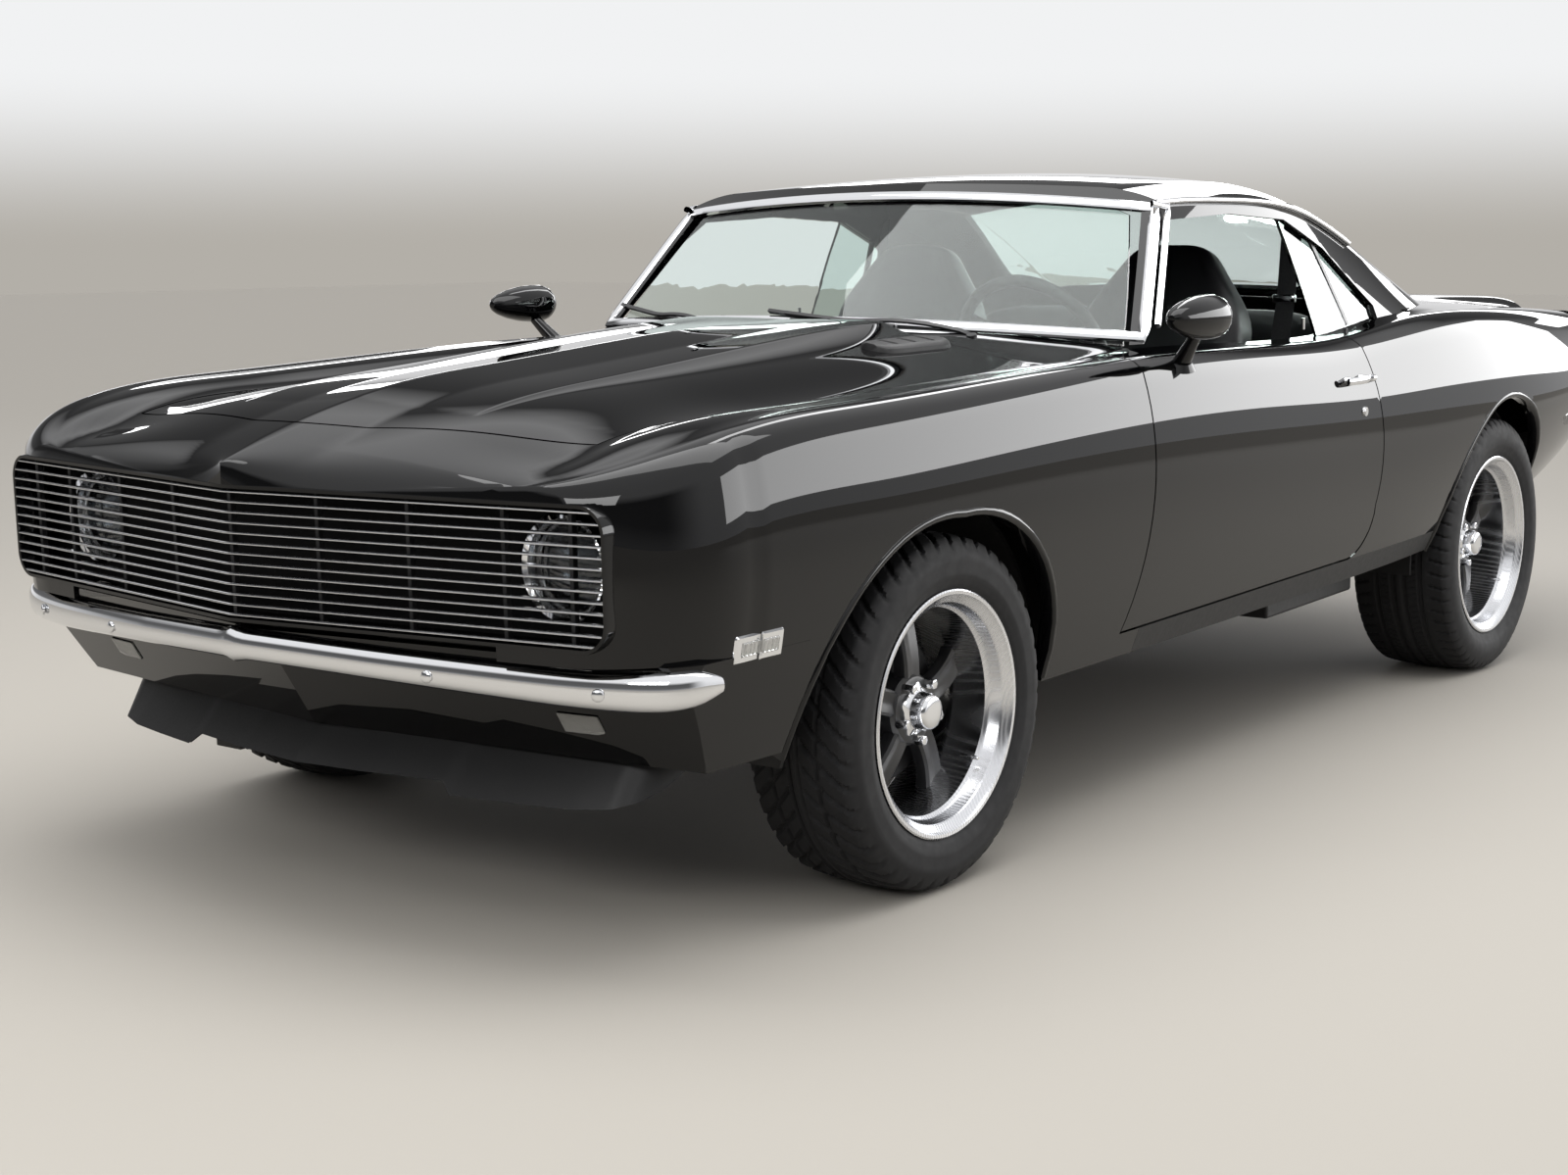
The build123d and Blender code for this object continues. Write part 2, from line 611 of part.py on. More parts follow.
# Glass
windshield = ahead_of_glass(GLASS_IN + GLASS_T) - ahead_of_glass(GLASS_IN)
keep("windshield", (windshield & cabin_inner) - outer)
pane = cabin_form(GLASS_IN, GLASS_IN) - cabin_form(GLASS_IN + GLASS_T, GLASS_IN + GLASS_T) - outer
quarter_glass = pane & side_window & box_s(0, 1100, 1790, 2400, 800, 1300)
keep("rear_glass", pane & rear_window, quarter_glass, mirror_x(quarter_glass), count=3)

# Quarter panels, from the doors to the tail
sill_rear = REAR_AXLE_S - REAR_HOUSE_R
sill_top = 378 - GAP
quarter_zone = box_s(HEADER_X, 1100, 1745, TAIL_S - TAIL_T, 200, 1100)
quarter_zone -= box_s(0, 1100, 1700, sill_rear, 200, sill_top)
cabin_space = box_s(0, CABIN_X, 1700, CABIN_REAR, 200, 1100)
cabin_space += cabin_inner & box_s(0, 1000, 1700, 2700, 800, 1300)
keep_pair("quarter", (skin & quarter_zone) - lid_cut - cabin_space)

# Cowl between hood and windshield, and the deck ahead of the lid
cowl_zone = box_s(-cowl_x, cowl_x, cowl_s, FENDER_REAR, 800, 1100)
cowl_zone += box_s(-CABIN_X, CABIN_X, FENDER_REAR, 960, 800, 1100)
cowl_zone &= ahead_of_glass(GLASS_IN + GLASS_T + 14)
hood, cowl = hinged(hood, (outer & cowl_zone) - lowered, *HOOD_HINGE, cowl_s + 20)
keep("hood", hood)
keep("cowl", cowl)
deck = (outer & box_s(-HEADER_X, HEADER_X, 2590, LID_FRONT - GAP, 800, 1100)) - lowered

# Trunk lid with its ducktail
lid_top = (outer & lid_plan(0)) - lowered


def ducktail_side():
    tip, front = (LID_REAR, 894 + DUCKTAIL_H), (LID_REAR - 230, 868)
    Line((front[0], 850), (LID_REAR, 850))
    Line((LID_REAR, 850), tip)
    ThreePointArc(tip, (LID_REAR - 100, 903), front)
    Line(front, (front[0], 850))


tail = side_prism(ducktail_side, -LID_REAR_X + 6, LID_REAR_X - 6) - lowered
lid, deck = hinged(lid_top + (tail & lid_plan(0)), deck, *TRUNK_HINGE, LID_FRONT - GAP - 20)
keep("trunk_lid", lid)
keep("rear_deck", deck)

# Tail panel with its lamps, and the valance under it
tail_panel = (outer & box_s(-1000, 1000, TAIL_S - TAIL_T, TAIL_S, 200, 1000)) - lid_cut
lamp_row = []
for x_from, x_to in ((300, 440), (456, 600)):
    lamp_row.append(box_s(x_from, x_to, TAIL_S - TAIL_T + 4, TAIL_S + 8, 668, 772))
tail_lamps = lamp_row + [mirror_x(piece) for piece in lamp_row]
for piece in tail_lamps:
    tail_panel -= piece
keep("tail_panel", tail_panel)
keep("tail_lamps", tail_lamps, count=4)
rear_valance = box_s(-640, 640, TAIL_S - TAIL_T, TAIL_S - 4, 395, 484) - outer
keep("rear_valance", rear_valance)

# Floor with sills, tunnel, firewall, wheel houses and trunk floor, as one welded shell
floor = box_s(-SILL_X, SILL_X, CABIN_FRONT - WALL_T, KICK_S, FLOOR_Z - FLOOR_T, FLOOR_Z)
tunnel_out_x = TUNNEL_X + WALL_T
floor += box_s(-tunnel_out_x, tunnel_out_x, CABIN_FRONT - WALL_T, KICK_S, FLOOR_Z - FLOOR_T, TUNNEL_Z)
floor -= box_s(-TUNNEL_X, TUNNEL_X, 0, KICK_S - WALL_T, 0, TUNNEL_Z - WALL_T)
floor += box_s(-SILL_X, SILL_X, KICK_S - WALL_T, KICK_S, FLOOR_Z - FLOOR_T, TRUNK_FLOOR_Z)
floor += box_s(-560, 560, KICK_S - WALL_T, TAIL_S - TAIL_T - SEAT, TRUNK_FLOOR_Z - WALL_T, TRUNK_FLOOR_Z)
firewall = box_s(-SILL_X, SILL_X, CABIN_FRONT - WALL_T, CABIN_FRONT, FLOOR_Z - FLOOR_T, 900)
firewall -= box_s(-TUNNEL_X, TUNNEL_X, 0, 1000, 0, TUNNEL_Z - WALL_T)
floor += firewall
floor -= box_s(-TUNNEL_X, TUNNEL_X, 0, KICK_S + 10, 0, TUNNEL_Z - WALL_T)
sill = (outer & box_s(SILL_X, 1000, FENDER_REAR, sill_rear, 200, sill_top)) - both(door_hole)
floor += both(sill)
floor += both(house(REAR_AXLE_S, REAR_AXLE_Z, REAR_HOUSE_R + LINER_T, REAR_ARCH_IN_X - WALL_T, 800))
floor = floor - houses - openings - box_s(-1000, 1000, 2000, 3400, 0, 250)
AXLE_SLOT = 90.0
floor -= box_s(-620, 620, REAR_AXLE_S - AXLE_SLOT, REAR_AXLE_S + AXLE_SLOT, 0, REAR_AXLE_Z + AXLE_SLOT)
core_space = body_form(SKIN_T + SEAT, SKIN_T + SEAT)
floor &= core_space + both(box_s(SILL_X, 1000, FENDER_REAR, 2400, 200, 378))
keep("floor_pan", floor + both(door_post) + both(door_lug))


# Wheels: a deep barrel, five curved spokes, a hub with its brake drum, and a centre cap
HUB_R = 70.0
DRUM_R = 140.0
DRUM_DEPTH = 90.0         # from the spokes' hub face to the drum's back
CAP_R = 34.0
SPOKES = 5
SPOKE_ROOT_W = 50.0
SPOKE_END_W = 62.0
LIP_H = 15.0              # height of the rim flange over the bead seat
BARREL_T = 9.0


def revolved(points):
    """Ring about X of an outline in (x, radius)."""
    with BuildLine(Plane.XZ) as wire:
        Polyline(*points, close=True)
    return revolve(Face(wire.wire()), Axis.X)


def wheel(rim_r, rim_w, face):
    """Wheel about X with its tyre's middle at x=0 and its spokes' hub face at face."""
    half = rim_w / 2
    lip = rim_r + LIP_H
    barrel = revolved(
        [
            (-half, lip),
            (-half + 8, rim_r),
            (half - 8, rim_r),
            (half, lip),
            (half + 6, lip - 2),
            (half + 2, lip - 12),
            (half - 10, rim_r - 12),
            (half - 34, rim_r - 14),
            (half - 40, rim_r - 26),
            (face - 46, rim_r - 30),
            (-half + 16, rim_r - BARREL_T),
            (-half - 4, lip - 8),
        ]
    )
    body = barrel
    inner_r = rim_r - 22
    for index in range(SPOKES):
        with BuildLine(Plane.XZ) as line:
            ThreePointArc((face, HUB_R - 20), (face - 6, inner_r * 0.62), (face - 40, inner_r + 2))
            Line((face - 40, inner_r + 2), (face - 66, inner_r + 2))
            ThreePointArc((face - 66, inner_r + 2), (face - 40, inner_r * 0.6), (face - 34, HUB_R - 20))
            Line((face - 34, HUB_R - 20), (face, HUB_R - 20))
        side = Face(line.wire()).moved(Location((0, SPOKE_END_W, 0)))
        spoke = Solid.extrude(side, Vector(0, -2 * SPOKE_END_W, 0))
        with BuildLine(Plane.YZ) as line:
            low, high = HUB_R - 30, inner_r + 12
            root, tip = SPOKE_ROOT_W / 2, SPOKE_END_W / 2
            Polyline((-root, low), (root, low), (tip, high), (-tip, high), close=True)
        plan = Solid.extrude(Face(line.wire()).moved(Location((-200, 0, 0))), Vector(500, 0, 0))
        body += Rot(360.0 * index / SPOKES, 0, 0) * (spoke & plan)
    hub = revolved([(-56, 0), (2, 0), (2, HUB_R - 8), (-6, HUB_R), (-56, HUB_R)])
    cap = revolved([(0, 0), (44, 0), (44, CAP_R - 10), (36, CAP_R - 3), (0, CAP_R)])
    drum = revolved([(-DRUM_DEPTH, 0), (-50, 0), (-50, DRUM_R - 12), (-58, DRUM_R), (-DRUM_DEPTH, DRUM_R)])
    body += Pos(face, 0, 0) * (hub + cap + drum)
    return body - Pos(face - 60, 0, 0) * Rot(0, 90, 0) * Cylinder(SPINDLE_R + SPINDLE_FIT, 120)


def tyre(radius, width, rim_r, rim_w):
    """Tyre about X: bead, bulged sidewall, rounded shoulder and crowned tread."""
    half, seat = width / 2, rim_w / 2 - 8
    shoulder_x, shoulder_r = half - 26, radius - 7
    wall_r = (rim_r + radius) / 2 + 4
    with BuildLine(Plane.XZ) as line:
        Line((-seat, rim_r), (seat, rim_r))
        Line((seat, rim_r), (seat + 8, rim_r + LIP_H + 1))
        ThreePointArc((seat + 8, rim_r + LIP_H + 1), (half, wall_r), (half - 8, radius - 26))
        ThreePointArc((half - 8, radius - 26), (half - 14, radius - 14), (shoulder_x, shoulder_r))
        ThreePointArc((shoulder_x, shoulder_r), (0, radius), (-shoulder_x, shoulder_r))
        ThreePointArc((-shoulder_x, shoulder_r), (14 - half, radius - 14), (8 - half, radius - 26))
        ThreePointArc((8 - half, radius - 26), (-half, wall_r), (-seat - 8, rim_r + LIP_H + 1))
        Line((-seat - 8, rim_r + LIP_H + 1), (-seat, rim_r))
    return revolve(Face(line.wire()), Axis.X)


# Columns: end, station, height, tyre centre x, spoke face x, tyre radius and width, rim radius and width
AXLES = (
    ("front", 0.0, FRONT_TYRE_R, FRONT_WHEEL_X, FRONT_FACE_X, FRONT_TYRE_R, FRONT_TYRE_W, FRONT_RIM_R, FRONT_RIM_W),
    ("rear", WHEELBASE, REAR_TYRE_R, REAR_WHEEL_X, REAR_FACE_X, REAR_TYRE_R, REAR_TYRE_W, REAR_RIM_R, REAR_RIM_W),
)
for end, s, z, x, face_x, tyre_r, tyre_w, rim_r, rim_w in AXLES:
    place = Pos(x, body_y(s), z)
    keep_pair(f"wheel_{end}", place * wheel(rim_r, rim_w, face_x - x), level=False)
    keep_pair(f"tyre_{end}", place * tyre(tyre_r, tyre_w, rim_r, rim_w), level=False)

# Knuckles: an upright with a spindle, and pins that turn in the control arms
UPRIGHT_LOW = 236.0
UPRIGHT_HIGH = 428.0
PIN_R = 9.0
PIN_L = 26.0
ARM_T = 22.0
ARM_OUT_X = KINGPIN_X + 14.0
PIN_FIT = 0.06
RAIL_X = 400.0            # outer side of the front frame rails
upright = box_s(KINGPIN_X - 18, FRONT_FACE_X - DRUM_DEPTH - SEAT, -26, 26, UPRIGHT_LOW, UPRIGHT_HIGH)
spindle = Pos((KINGPIN_X + FRONT_FACE_X - 12) / 2, AXLE_Y, FRONT_TYRE_R) * Rot(0, 90, 0) * Cylinder(
    SPINDLE_R, FRONT_FACE_X - 12 - KINGPIN_X
)
pin_low, pin_high = UPRIGHT_LOW - PIN_L, UPRIGHT_HIGH + PIN_L
pins = rod((KINGPIN_X, 0, pin_low), (KINGPIN_X, 0, pin_high), PIN_R)
keep_pair("knuckle", upright + spindle + pins, level=False)

# Front frame: rails, crossmember with towers, and the control arms
RAIL_IN_X = 330.0
rails = box_s(RAIL_IN_X, RAIL_X, -660, 820, 240, FLOOR_Z - FLOOR_T - SEAT)
tower = box_s(RAIL_IN_X, RAIL_X, -110, 110, 200, 520)
cross = box_s(-RAIL_X, RAIL_X, -70, 70, 190, 250)
front_frame = both(rails) + both(tower) + cross
TIE_R = 12.5
TIE_S = -520.0
tie_hole = Pos((RAIL_IN_X + RAIL_X) / 2, body_y(TIE_S), 280) * Cylinder(TIE_R, 200)
keep("front_frame", front_frame - both(tie_hole))
arms = []
for z, reach, arm_w in ((UPRIGHT_LOW - GAP - ARM_T, 90, 34), (UPRIGHT_HIGH + GAP, 60, 30)):
    arm_plan = [(RAIL_X, -reach), (ARM_OUT_X, -arm_w / 2), (ARM_OUT_X, arm_w / 2), (RAIL_X, reach)]
    arm = plan_prism(arm_plan, z, z + ARM_T)
    arm -= rod((KINGPIN_X, 0, 0), (KINGPIN_X, 0, 900), PIN_R + PIN_FIT)
    arms += [arm, mirror_x(arm)]
keep("control_arms", arms, level=False, count=4)

# Rear axle on leaf springs, with the driveshaft to the gearbox
AXLE_TUBE_R = 40.0
DIFF_R = 132.0
PAD_X = 505.0
STUB_X = REAR_FACE_X - 12
axle = rod((-STUB_X, WHEELBASE, REAR_TYRE_R), (STUB_X, WHEELBASE, REAR_TYRE_R), SPINDLE_R)
axle += rod((-600, WHEELBASE, REAR_TYRE_R), (600, WHEELBASE, REAR_TYRE_R), AXLE_TUBE_R)
axle += both(rod((600, WHEELBASE, REAR_TYRE_R), (REAR_FACE_X - DRUM_DEPTH - GAP, WHEELBASE, REAR_TYRE_R), 60))
axle += Pos(0, body_y(WHEELBASE), REAR_TYRE_R) * Sphere(DIFF_R)
axle += rod((0, WHEELBASE, REAR_TYRE_R), (0, WHEELBASE - 190, REAR_TYRE_R), 46)
keep("rear_axle", axle, level=False)
LEAF_W = 60.0
LEAF_T = 26.0
LEAF_FRONT = 2160.0
LEAF_REAR = 3420.0
leaf_top = REAR_AXLE_Z - AXLE_TUBE_R - SEAT


def leaf_side():
    Line((LEAF_FRONT, leaf_top + 50), (LEAF_FRONT, leaf_top + 50 - LEAF_T))
    leaf_rear_low = (LEAF_REAR, leaf_top + 70 - LEAF_T)
    ThreePointArc((LEAF_FRONT, leaf_top + 50 - LEAF_T), (REAR_AXLE_S, leaf_top - LEAF_T), leaf_rear_low)
    Line(leaf_rear_low, (LEAF_REAR, leaf_top + 70))
    ThreePointArc((LEAF_REAR, leaf_top + 70), (REAR_AXLE_S, leaf_top), (LEAF_FRONT, leaf_top + 50))


leaf_x = PAD_X - LEAF_W / 2
leaf = side_prism(leaf_side, leaf_x, leaf_x + LEAF_W)
leaf_out_x = leaf_x + LEAF_W
leaf += box_s(leaf_x - 6, leaf_out_x + 6, LEAF_FRONT - 60, LEAF_FRONT + 20, 232, FLOOR_Z - FLOOR_T - SEAT)
shackle_top = TRUNK_FLOOR_Z - WALL_T - SEAT
leaf += box_s(leaf_x + 10, leaf_out_x - 10, LEAF_REAR - 16, LEAF_REAR + 16, 300, shackle_top)
keep("leaf_springs", leaf, mirror_x(leaf), count=2)

# Engine with its gearbox, driveshaft, exhaust and fuel tank
ENGINE_S = (-330.0, 330.0)
engine = box_s(-260, 260, *ENGINE_S, 330, 840) + box_s(-100, 100, 330, 1050, 255, 430)
engine -= box_s(-300, 300, -115, 115, 0, 250 + SEAT)
engine += both(box_s(258, RAIL_IN_X - SEAT, -40, 40, 400, 470))
keep("engine", engine)
diff_s, diff_z = to_level(WHEELBASE - 180, REAR_TYRE_R)
keep("driveshaft", raked(rod((0, 1040, 345), (0, diff_s, diff_z), 38) - engine) - axle, level=False)
PIPE_R = 28.0
PIPE_X = 210.0
pipe_path = [(PIPE_X + 65, 345, 262), (PIPE_X, 700, 262), (PIPE_X, 1960, 262)]
pipes = rod(pipe_path[0], pipe_path[1], PIPE_R) + rod(pipe_path[1], pipe_path[2], PIPE_R)
pipes += Pos(PIPE_X, body_y(700), 262) * Sphere(PIPE_R)
muffler = box_s(PIPE_X - 85, PIPE_X + 85, 1560, 2100, 214, FLOOR_Z - FLOOR_T - SEAT)
pipes += muffler
keep("exhaust", pipes, mirror_x(pipes), count=2)
keep("fuel_tank", box_s(-400, 400, 2990, 3560, 330, TRUNK_FLOOR_Z - WALL_T - SEAT))

# Seats: high-backed buckets in front and a bench behind
SEAT_X = 360.0
SEAT_W = 500.0
CUSHION_S = (1130.0, 1640.0)
CUSHION_Z = 500.0
BACK_TOP_Z = 1120.0


def seat_side():
    s0, s1 = CUSHION_S
    Line((s0, FLOOR_Z + SEAT), (s1, FLOOR_Z + SEAT))
    Line((s1, FLOOR_Z + SEAT), (s1 + 190, BACK_TOP_Z))
    ThreePointArc((s1 + 190, BACK_TOP_Z), (s1 + 150, BACK_TOP_Z + 30), (s1 + 105, BACK_TOP_Z))
    Line((s1 + 105, BACK_TOP_Z), (s1 - 60, CUSHION_Z + 20))
    Line((s1 - 60, CUSHION_Z + 20), (s0 + 40, CUSHION_Z + 30))
    ThreePointArc((s0 + 40, CUSHION_Z + 30), (s0, CUSHION_Z), (s0 - 10, CUSHION_Z - 50))
    Line((s0 - 10, CUSHION_Z - 50), (s0, FLOOR_Z + SEAT))


keep_pair("seat", side_prism(seat_side, SEAT_X - SEAT_W / 2 + 52, SEAT_X + SEAT_W / 2))


def bench_side():
    Line((1850, FLOOR_Z + SEAT), (KICK_S - WALL_T - SEAT, FLOOR_Z + SEAT))
    Line((KICK_S - WALL_T - SEAT, FLOOR_Z + SEAT), (KICK_S - WALL_T - SEAT, TRUNK_FLOOR_Z + SEAT))
    Line((KICK_S - WALL_T - SEAT, TRUNK_FLOOR_Z + SEAT), (2400, TRUNK_FLOOR_Z + SEAT))
    Line((2400, TRUNK_FLOOR_Z + SEAT), (2430, 900))
    Line((2430, 900), (2320, 900))
    Line((2320, 900), (2200, 560))
    Line((2200, 560), (1860, 540))
    Line((1860, 540), (1850, FLOOR_Z + SEAT))


bench = side_prism(bench_side, -560, 560) - box_s(-160, 160, 0, 4000, 0, TUNNEL_Z + SEAT)
keep("rear_seat", bench)
shelf = box_s(-600, 600, 2430 + SEAT, 2590, 880, 896)
keep("parcel_shelf", shelf & core)


# Dashboard with the steering column and wheel
def dash_side():
    Line((CABIN_FRONT + SEAT, 660), (CABIN_FRONT + SEAT, 890))
    Line((CABIN_FRONT + SEAT, 890), (880, 905))
    ThreePointArc((880, 905), (940, 885), (945, 830))
    Line((945, 830), (900, 680))
    Line((900, 680), (CABIN_FRONT + SEAT, 660))


keep("dashboard", side_prism(dash_side, -CABIN_X + 22, CABIN_X - 22) - cowl_zone)
WHEEL_S = 1150.0
WHEEL_Z = 905.0
WHEEL_TILT = 66.0         # of the rim's axis from upright
WHEEL_R = 185.0
rim = Torus(WHEEL_R, 14)
hub = Cylinder(34, 40)
steering = rim + hub
for turn in (90, 210, 330):
    steering += Rot(0, 0, turn) * Pos(WHEEL_R / 2, 0, 0) * Box(WHEEL_R, 26, 8)
steering += Pos(0, 0, -130) * Cylinder(24, 250)
place = Pos(SEAT_X, body_y(WHEEL_S), WHEEL_Z) * Rot(-WHEEL_TILT, 0, 0)
steering = place * steering
keep("steering_wheel", steering - side_prism(dash_side, -CABIN_X + 22, CABIN_X - 22))

# Door mirrors with their stalks, and door handles
MIRROR = (950.0, 835.0, 1016.0)
with BuildLine(Plane.XZ) as line:
    Line((0, -92), (16, -88))
    ThreePointArc((16, -88), (46, -20), (44, 50))
    Line((44, 50), (36, 58))
    Line((36, 58), (0, 60))
    Line((0, 60), (0, -92))
head = Pos(MIRROR[0], body_y(MIRROR[1]), MIRROR[2]) * Rot(-90, 0, 0) * revolve(Face(line.wire()), Axis.Z)
stalk = rod((884, 868, 925), (MIRROR[0] - 10, MIRROR[1] + 6, MIRROR[2] - 30), 13)
mirror_piece = (head + stalk) - door
handle = box_s(912, 930, 1665, 1800, 806, 830)
handle += box_s(880, 914, 1690, 1712, 808, 828) + box_s(880, 914, 1760, 1782, 808, 828)
handle -= door
keep_pair("mirror", mirror_piece)
keep_pair("door_handle", handle)

for name, shape in PARTS.items():
    export_step(shape, f"parts/{name}.step")
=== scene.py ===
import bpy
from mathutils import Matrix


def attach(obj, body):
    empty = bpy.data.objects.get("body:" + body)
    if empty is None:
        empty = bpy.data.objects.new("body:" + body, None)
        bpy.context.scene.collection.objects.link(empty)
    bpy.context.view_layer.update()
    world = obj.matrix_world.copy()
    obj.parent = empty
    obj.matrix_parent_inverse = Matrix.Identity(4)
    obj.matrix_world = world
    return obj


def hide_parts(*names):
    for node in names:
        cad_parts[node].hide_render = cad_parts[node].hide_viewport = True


bl_info = {
    "name": "Two-door muscle car",
    "version": (1, 0, 0),
    "blender": (4, 5, 0),
    "location": "View3D > Sidebar > Muscle car",
    "description": "Dresses the packed model of a black two-door muscle car with panels, trim, wheels and finishes",
    "category": "Object",
}

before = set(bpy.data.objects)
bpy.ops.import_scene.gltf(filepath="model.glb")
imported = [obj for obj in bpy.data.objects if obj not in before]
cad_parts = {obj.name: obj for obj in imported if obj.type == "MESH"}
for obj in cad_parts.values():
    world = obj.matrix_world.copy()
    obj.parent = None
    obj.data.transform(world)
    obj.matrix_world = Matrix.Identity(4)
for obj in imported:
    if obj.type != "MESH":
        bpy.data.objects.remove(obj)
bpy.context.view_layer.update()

from collections import namedtuple
from math import atan2, cos, exp, pi, radians, sin, sqrt

import bmesh
import bpy
import numpy as np
from mathutils import Matrix, Vector

# Millimetres, in the level frame of the part's source: x sideways, s rearward from the front axle,
# z up. place() pitches a point to the car's stance and turns it to metres.
AXLE_Y = -1418.7
RAKE = radians(1.384)
RAKE_Z = 650.0
WHEELBASE = 2743.0
SHELL_T = 12.0            # thickness of the painted panels
GAP = 5.0

# Body sections. Columns: s, then the fields of Section, which run from the sill's lower edge to the top's middle
Section = namedtuple("Section", "low_z low_x crease_x crease_z shoulder_x shoulder_z top_x top_z crown_z bulge")
BODY = [
    (-960, 378, 790, 862, 642, 838, 752, 742, 780, 826, 8),
    (-620, 345, 812, 888, 655, 866, 870, 790, 896, 920, 12),
    (-250, 330, 830, 908, 664, 882, 903, 814, 922, 950, 14),
    (200, 322, 838, 916, 668, 890, 910, 824, 930, 970, 14),
    (700, 320, 844, 916, 658, 890, 912, 830, 936, 984, 14),
    (1250, 318, 845, 911, 651, 882, 900, 820, 924, 970, 14),
    (1800, 318, 845, 909, 647, 874, 887, 806, 912, 956, 15),
    (2330, 322, 838, 916, 646, 872, 906, 790, 938, 972, 16),
    (2830, 345, 815, 916, 652, 864, 896, 768, 930, 962, 16),
    (3300, 405, 785, 888, 662, 828, 868, 735, 905, 934, 14),
    (3740, 485, 745, 838, 676, 786, 834, 700, 870, 890, 10),
]
# Cabin sections. Columns: s, base x, rail x, rail z, crown z
CABIN = [
    (620, 818, 640, 1160, 1215),
    (1100, 822, 658, 1248, 1296),
    (1500, 822, 660, 1254, 1318),
    (1880, 816, 652, 1226, 1312),
    (2180, 806, 642, 1148, 1262),
    (2450, 790, 642, 1050, 1132),
    (2720, 765, 645, 950, 984),
    (2900, 740, 655, 880, 900),
]
NOSE_S = -934.0
NOSE_SWEEP = 0.149
CORNER_X = 720.0          # half width of the swept nose, where its round corners start
CORNER_S = NOSE_S + NOSE_SWEEP * CORNER_X
CORNER_END = -560.0       # where the nose's corners end, and where the tail's start and end
TAIL_START = 3380.0
TAIL_CORNER = 3712.0
TAIL_S = 3720.0
BELT_Z = 800.0            # foot of the cabin's sections
GRILLE_X = 770.0
GRILLE_Z = (573.0, 806.0)
GRILLE_R = 45.0
LAMP = (613.0, -727.0, 687.0)
HOOD = {"front_mid": -757.0, "front": -632.0, "rear": 664.0, "front_x": 598.0, "rear_x": 672.0}
FENDER_REAR = 742.0       # where the fenders end beside the cowl
FRONT_ARCH_S = -432.0     # front edge of the front wheel's opening
PANEL_X = 560.0           # where fenders and quarters meet header and deck
COWL_FRONT = 669.0
COWL_X = 677.0            # half width of the cowl between the fenders' rear ends
DOOR_IN_X = 747.0         # inner side of the cuts round the doors
OUT_X = 1100.0            # beyond the body's side, ahead of it, below it and above it
AHEAD_S = -1100.0
UNDER_Z = 200.0
OVER_Z = 1150.0
LID = {"front": 2860.0, "rear": 3690.0, "front_x": 600.0, "rear_x": 590.0}
REAR_AXLE_S = WHEELBASE * cos(RAKE) + (352 - RAKE_Z) * sin(RAKE)

Wheel = namedtuple("Wheel", "end x s z tyre_r tyre_w rim_r rim_w face_x")
WHEELS = [
    Wheel("front", 770.0, 0.0, 334.0, 334.0, 240.0, 216.0, 214.0, 806.0),
    Wheel("rear", 744.0, WHEELBASE, 352.0, 352.0, 284.0, 229.0, 248.0, 790.0),
]
SIDES = (("left", 1), ("right", -1))
FINISH = {}                # the materials by name


def place(x, s, z):
    """A point of the pitched body, in metres."""
    dz = z - RAKE_Z
    return Vector((x, AXLE_Y + s * cos(RAKE) - dz * sin(RAKE), RAKE_Z + s * sin(RAKE) + dz * cos(RAKE))) / 1000


def level(x, s, z):
    """A point of the level running gear, which doesn't pitch with the body."""
    return Vector((x, AXLE_Y + s, z)) / 1000


def spline(rows):
    """Smooth curve through a table's rows, by their first column."""
    data = np.array(rows, float)
    at, value = data[:, 0], data[:, 1:]
    n, h = len(at), np.diff(at)
    a, b = np.eye(n), np.zeros((n, value.shape[1]))
    for i in range(1, n - 1):
        a[i, i - 1:i + 2] = h[i - 1], 2 * (h[i - 1] + h[i]), h[i]
        b[i] = 6 * ((value[i + 1] - value[i]) / h[i] - (value[i] - value[i - 1]) / h[i - 1])
    bend = np.linalg.solve(a, b)

    def curve(x):
        i = min(max(int(np.searchsorted(at, x)) - 1, 0), n - 2)
        p, q = (at[i + 1] - x) / h[i], (x - at[i]) / h[i]
        return p * value[i] + q * value[i + 1] + ((p**3 - p) * bend[i] + (q**3 - q) * bend[i + 1]) * h[i] ** 2 / 6

    return curve


body_at = spline(BODY)
cabin_at = spline(CABIN)


def span(a, b, sign):
    """Two distances from the car's middle as an ordered pair, on the side of the sign."""
    return sorted((a * sign, b * sign))


def bow(a, b, sag, t):
    """Point on a shallow arc from a to b that bulges to the right by sag."""
    dx, dz = b[0] - a[0], b[1] - a[1]
    size = sqrt(dx * dx + dz * dz) or 1.0
    k = 4 * sag * t * (1 - t)
    return a[0] + dx * t + dz / size * k, a[1] + dz * t - dx / size * k


def circle_centre(p0, p1, p2):
    """Centre and radius of the circle through three points."""
    (ax, ay), (bx, by), (cx, cy) = p0, p1, p2
    d = 2 * (ax * (by - cy) + bx * (cy - ay) + cx * (ay - by))
    ux = ((ax**2 + ay**2) * (by - cy) + (bx**2 + by**2) * (cy - ay) + (cx**2 + cy**2) * (ay - by)) / d
    uy = ((ax**2 + ay**2) * (cx - bx) + (bx**2 + by**2) * (ax - cx) + (cx**2 + cy**2) * (bx - ax)) / d
    return ux, uy, sqrt((ax - ux) ** 2 + (ay - uy) ** 2)


def circle_x(s, p0, p1, p2):
    """x of the circle through three (x, s) points at station s, on its outer side."""
    ux, uy, r = circle_centre(p0, p1, p2)
    return ux + sqrt(max(r**2 - (s - uy) ** 2, 0.0))


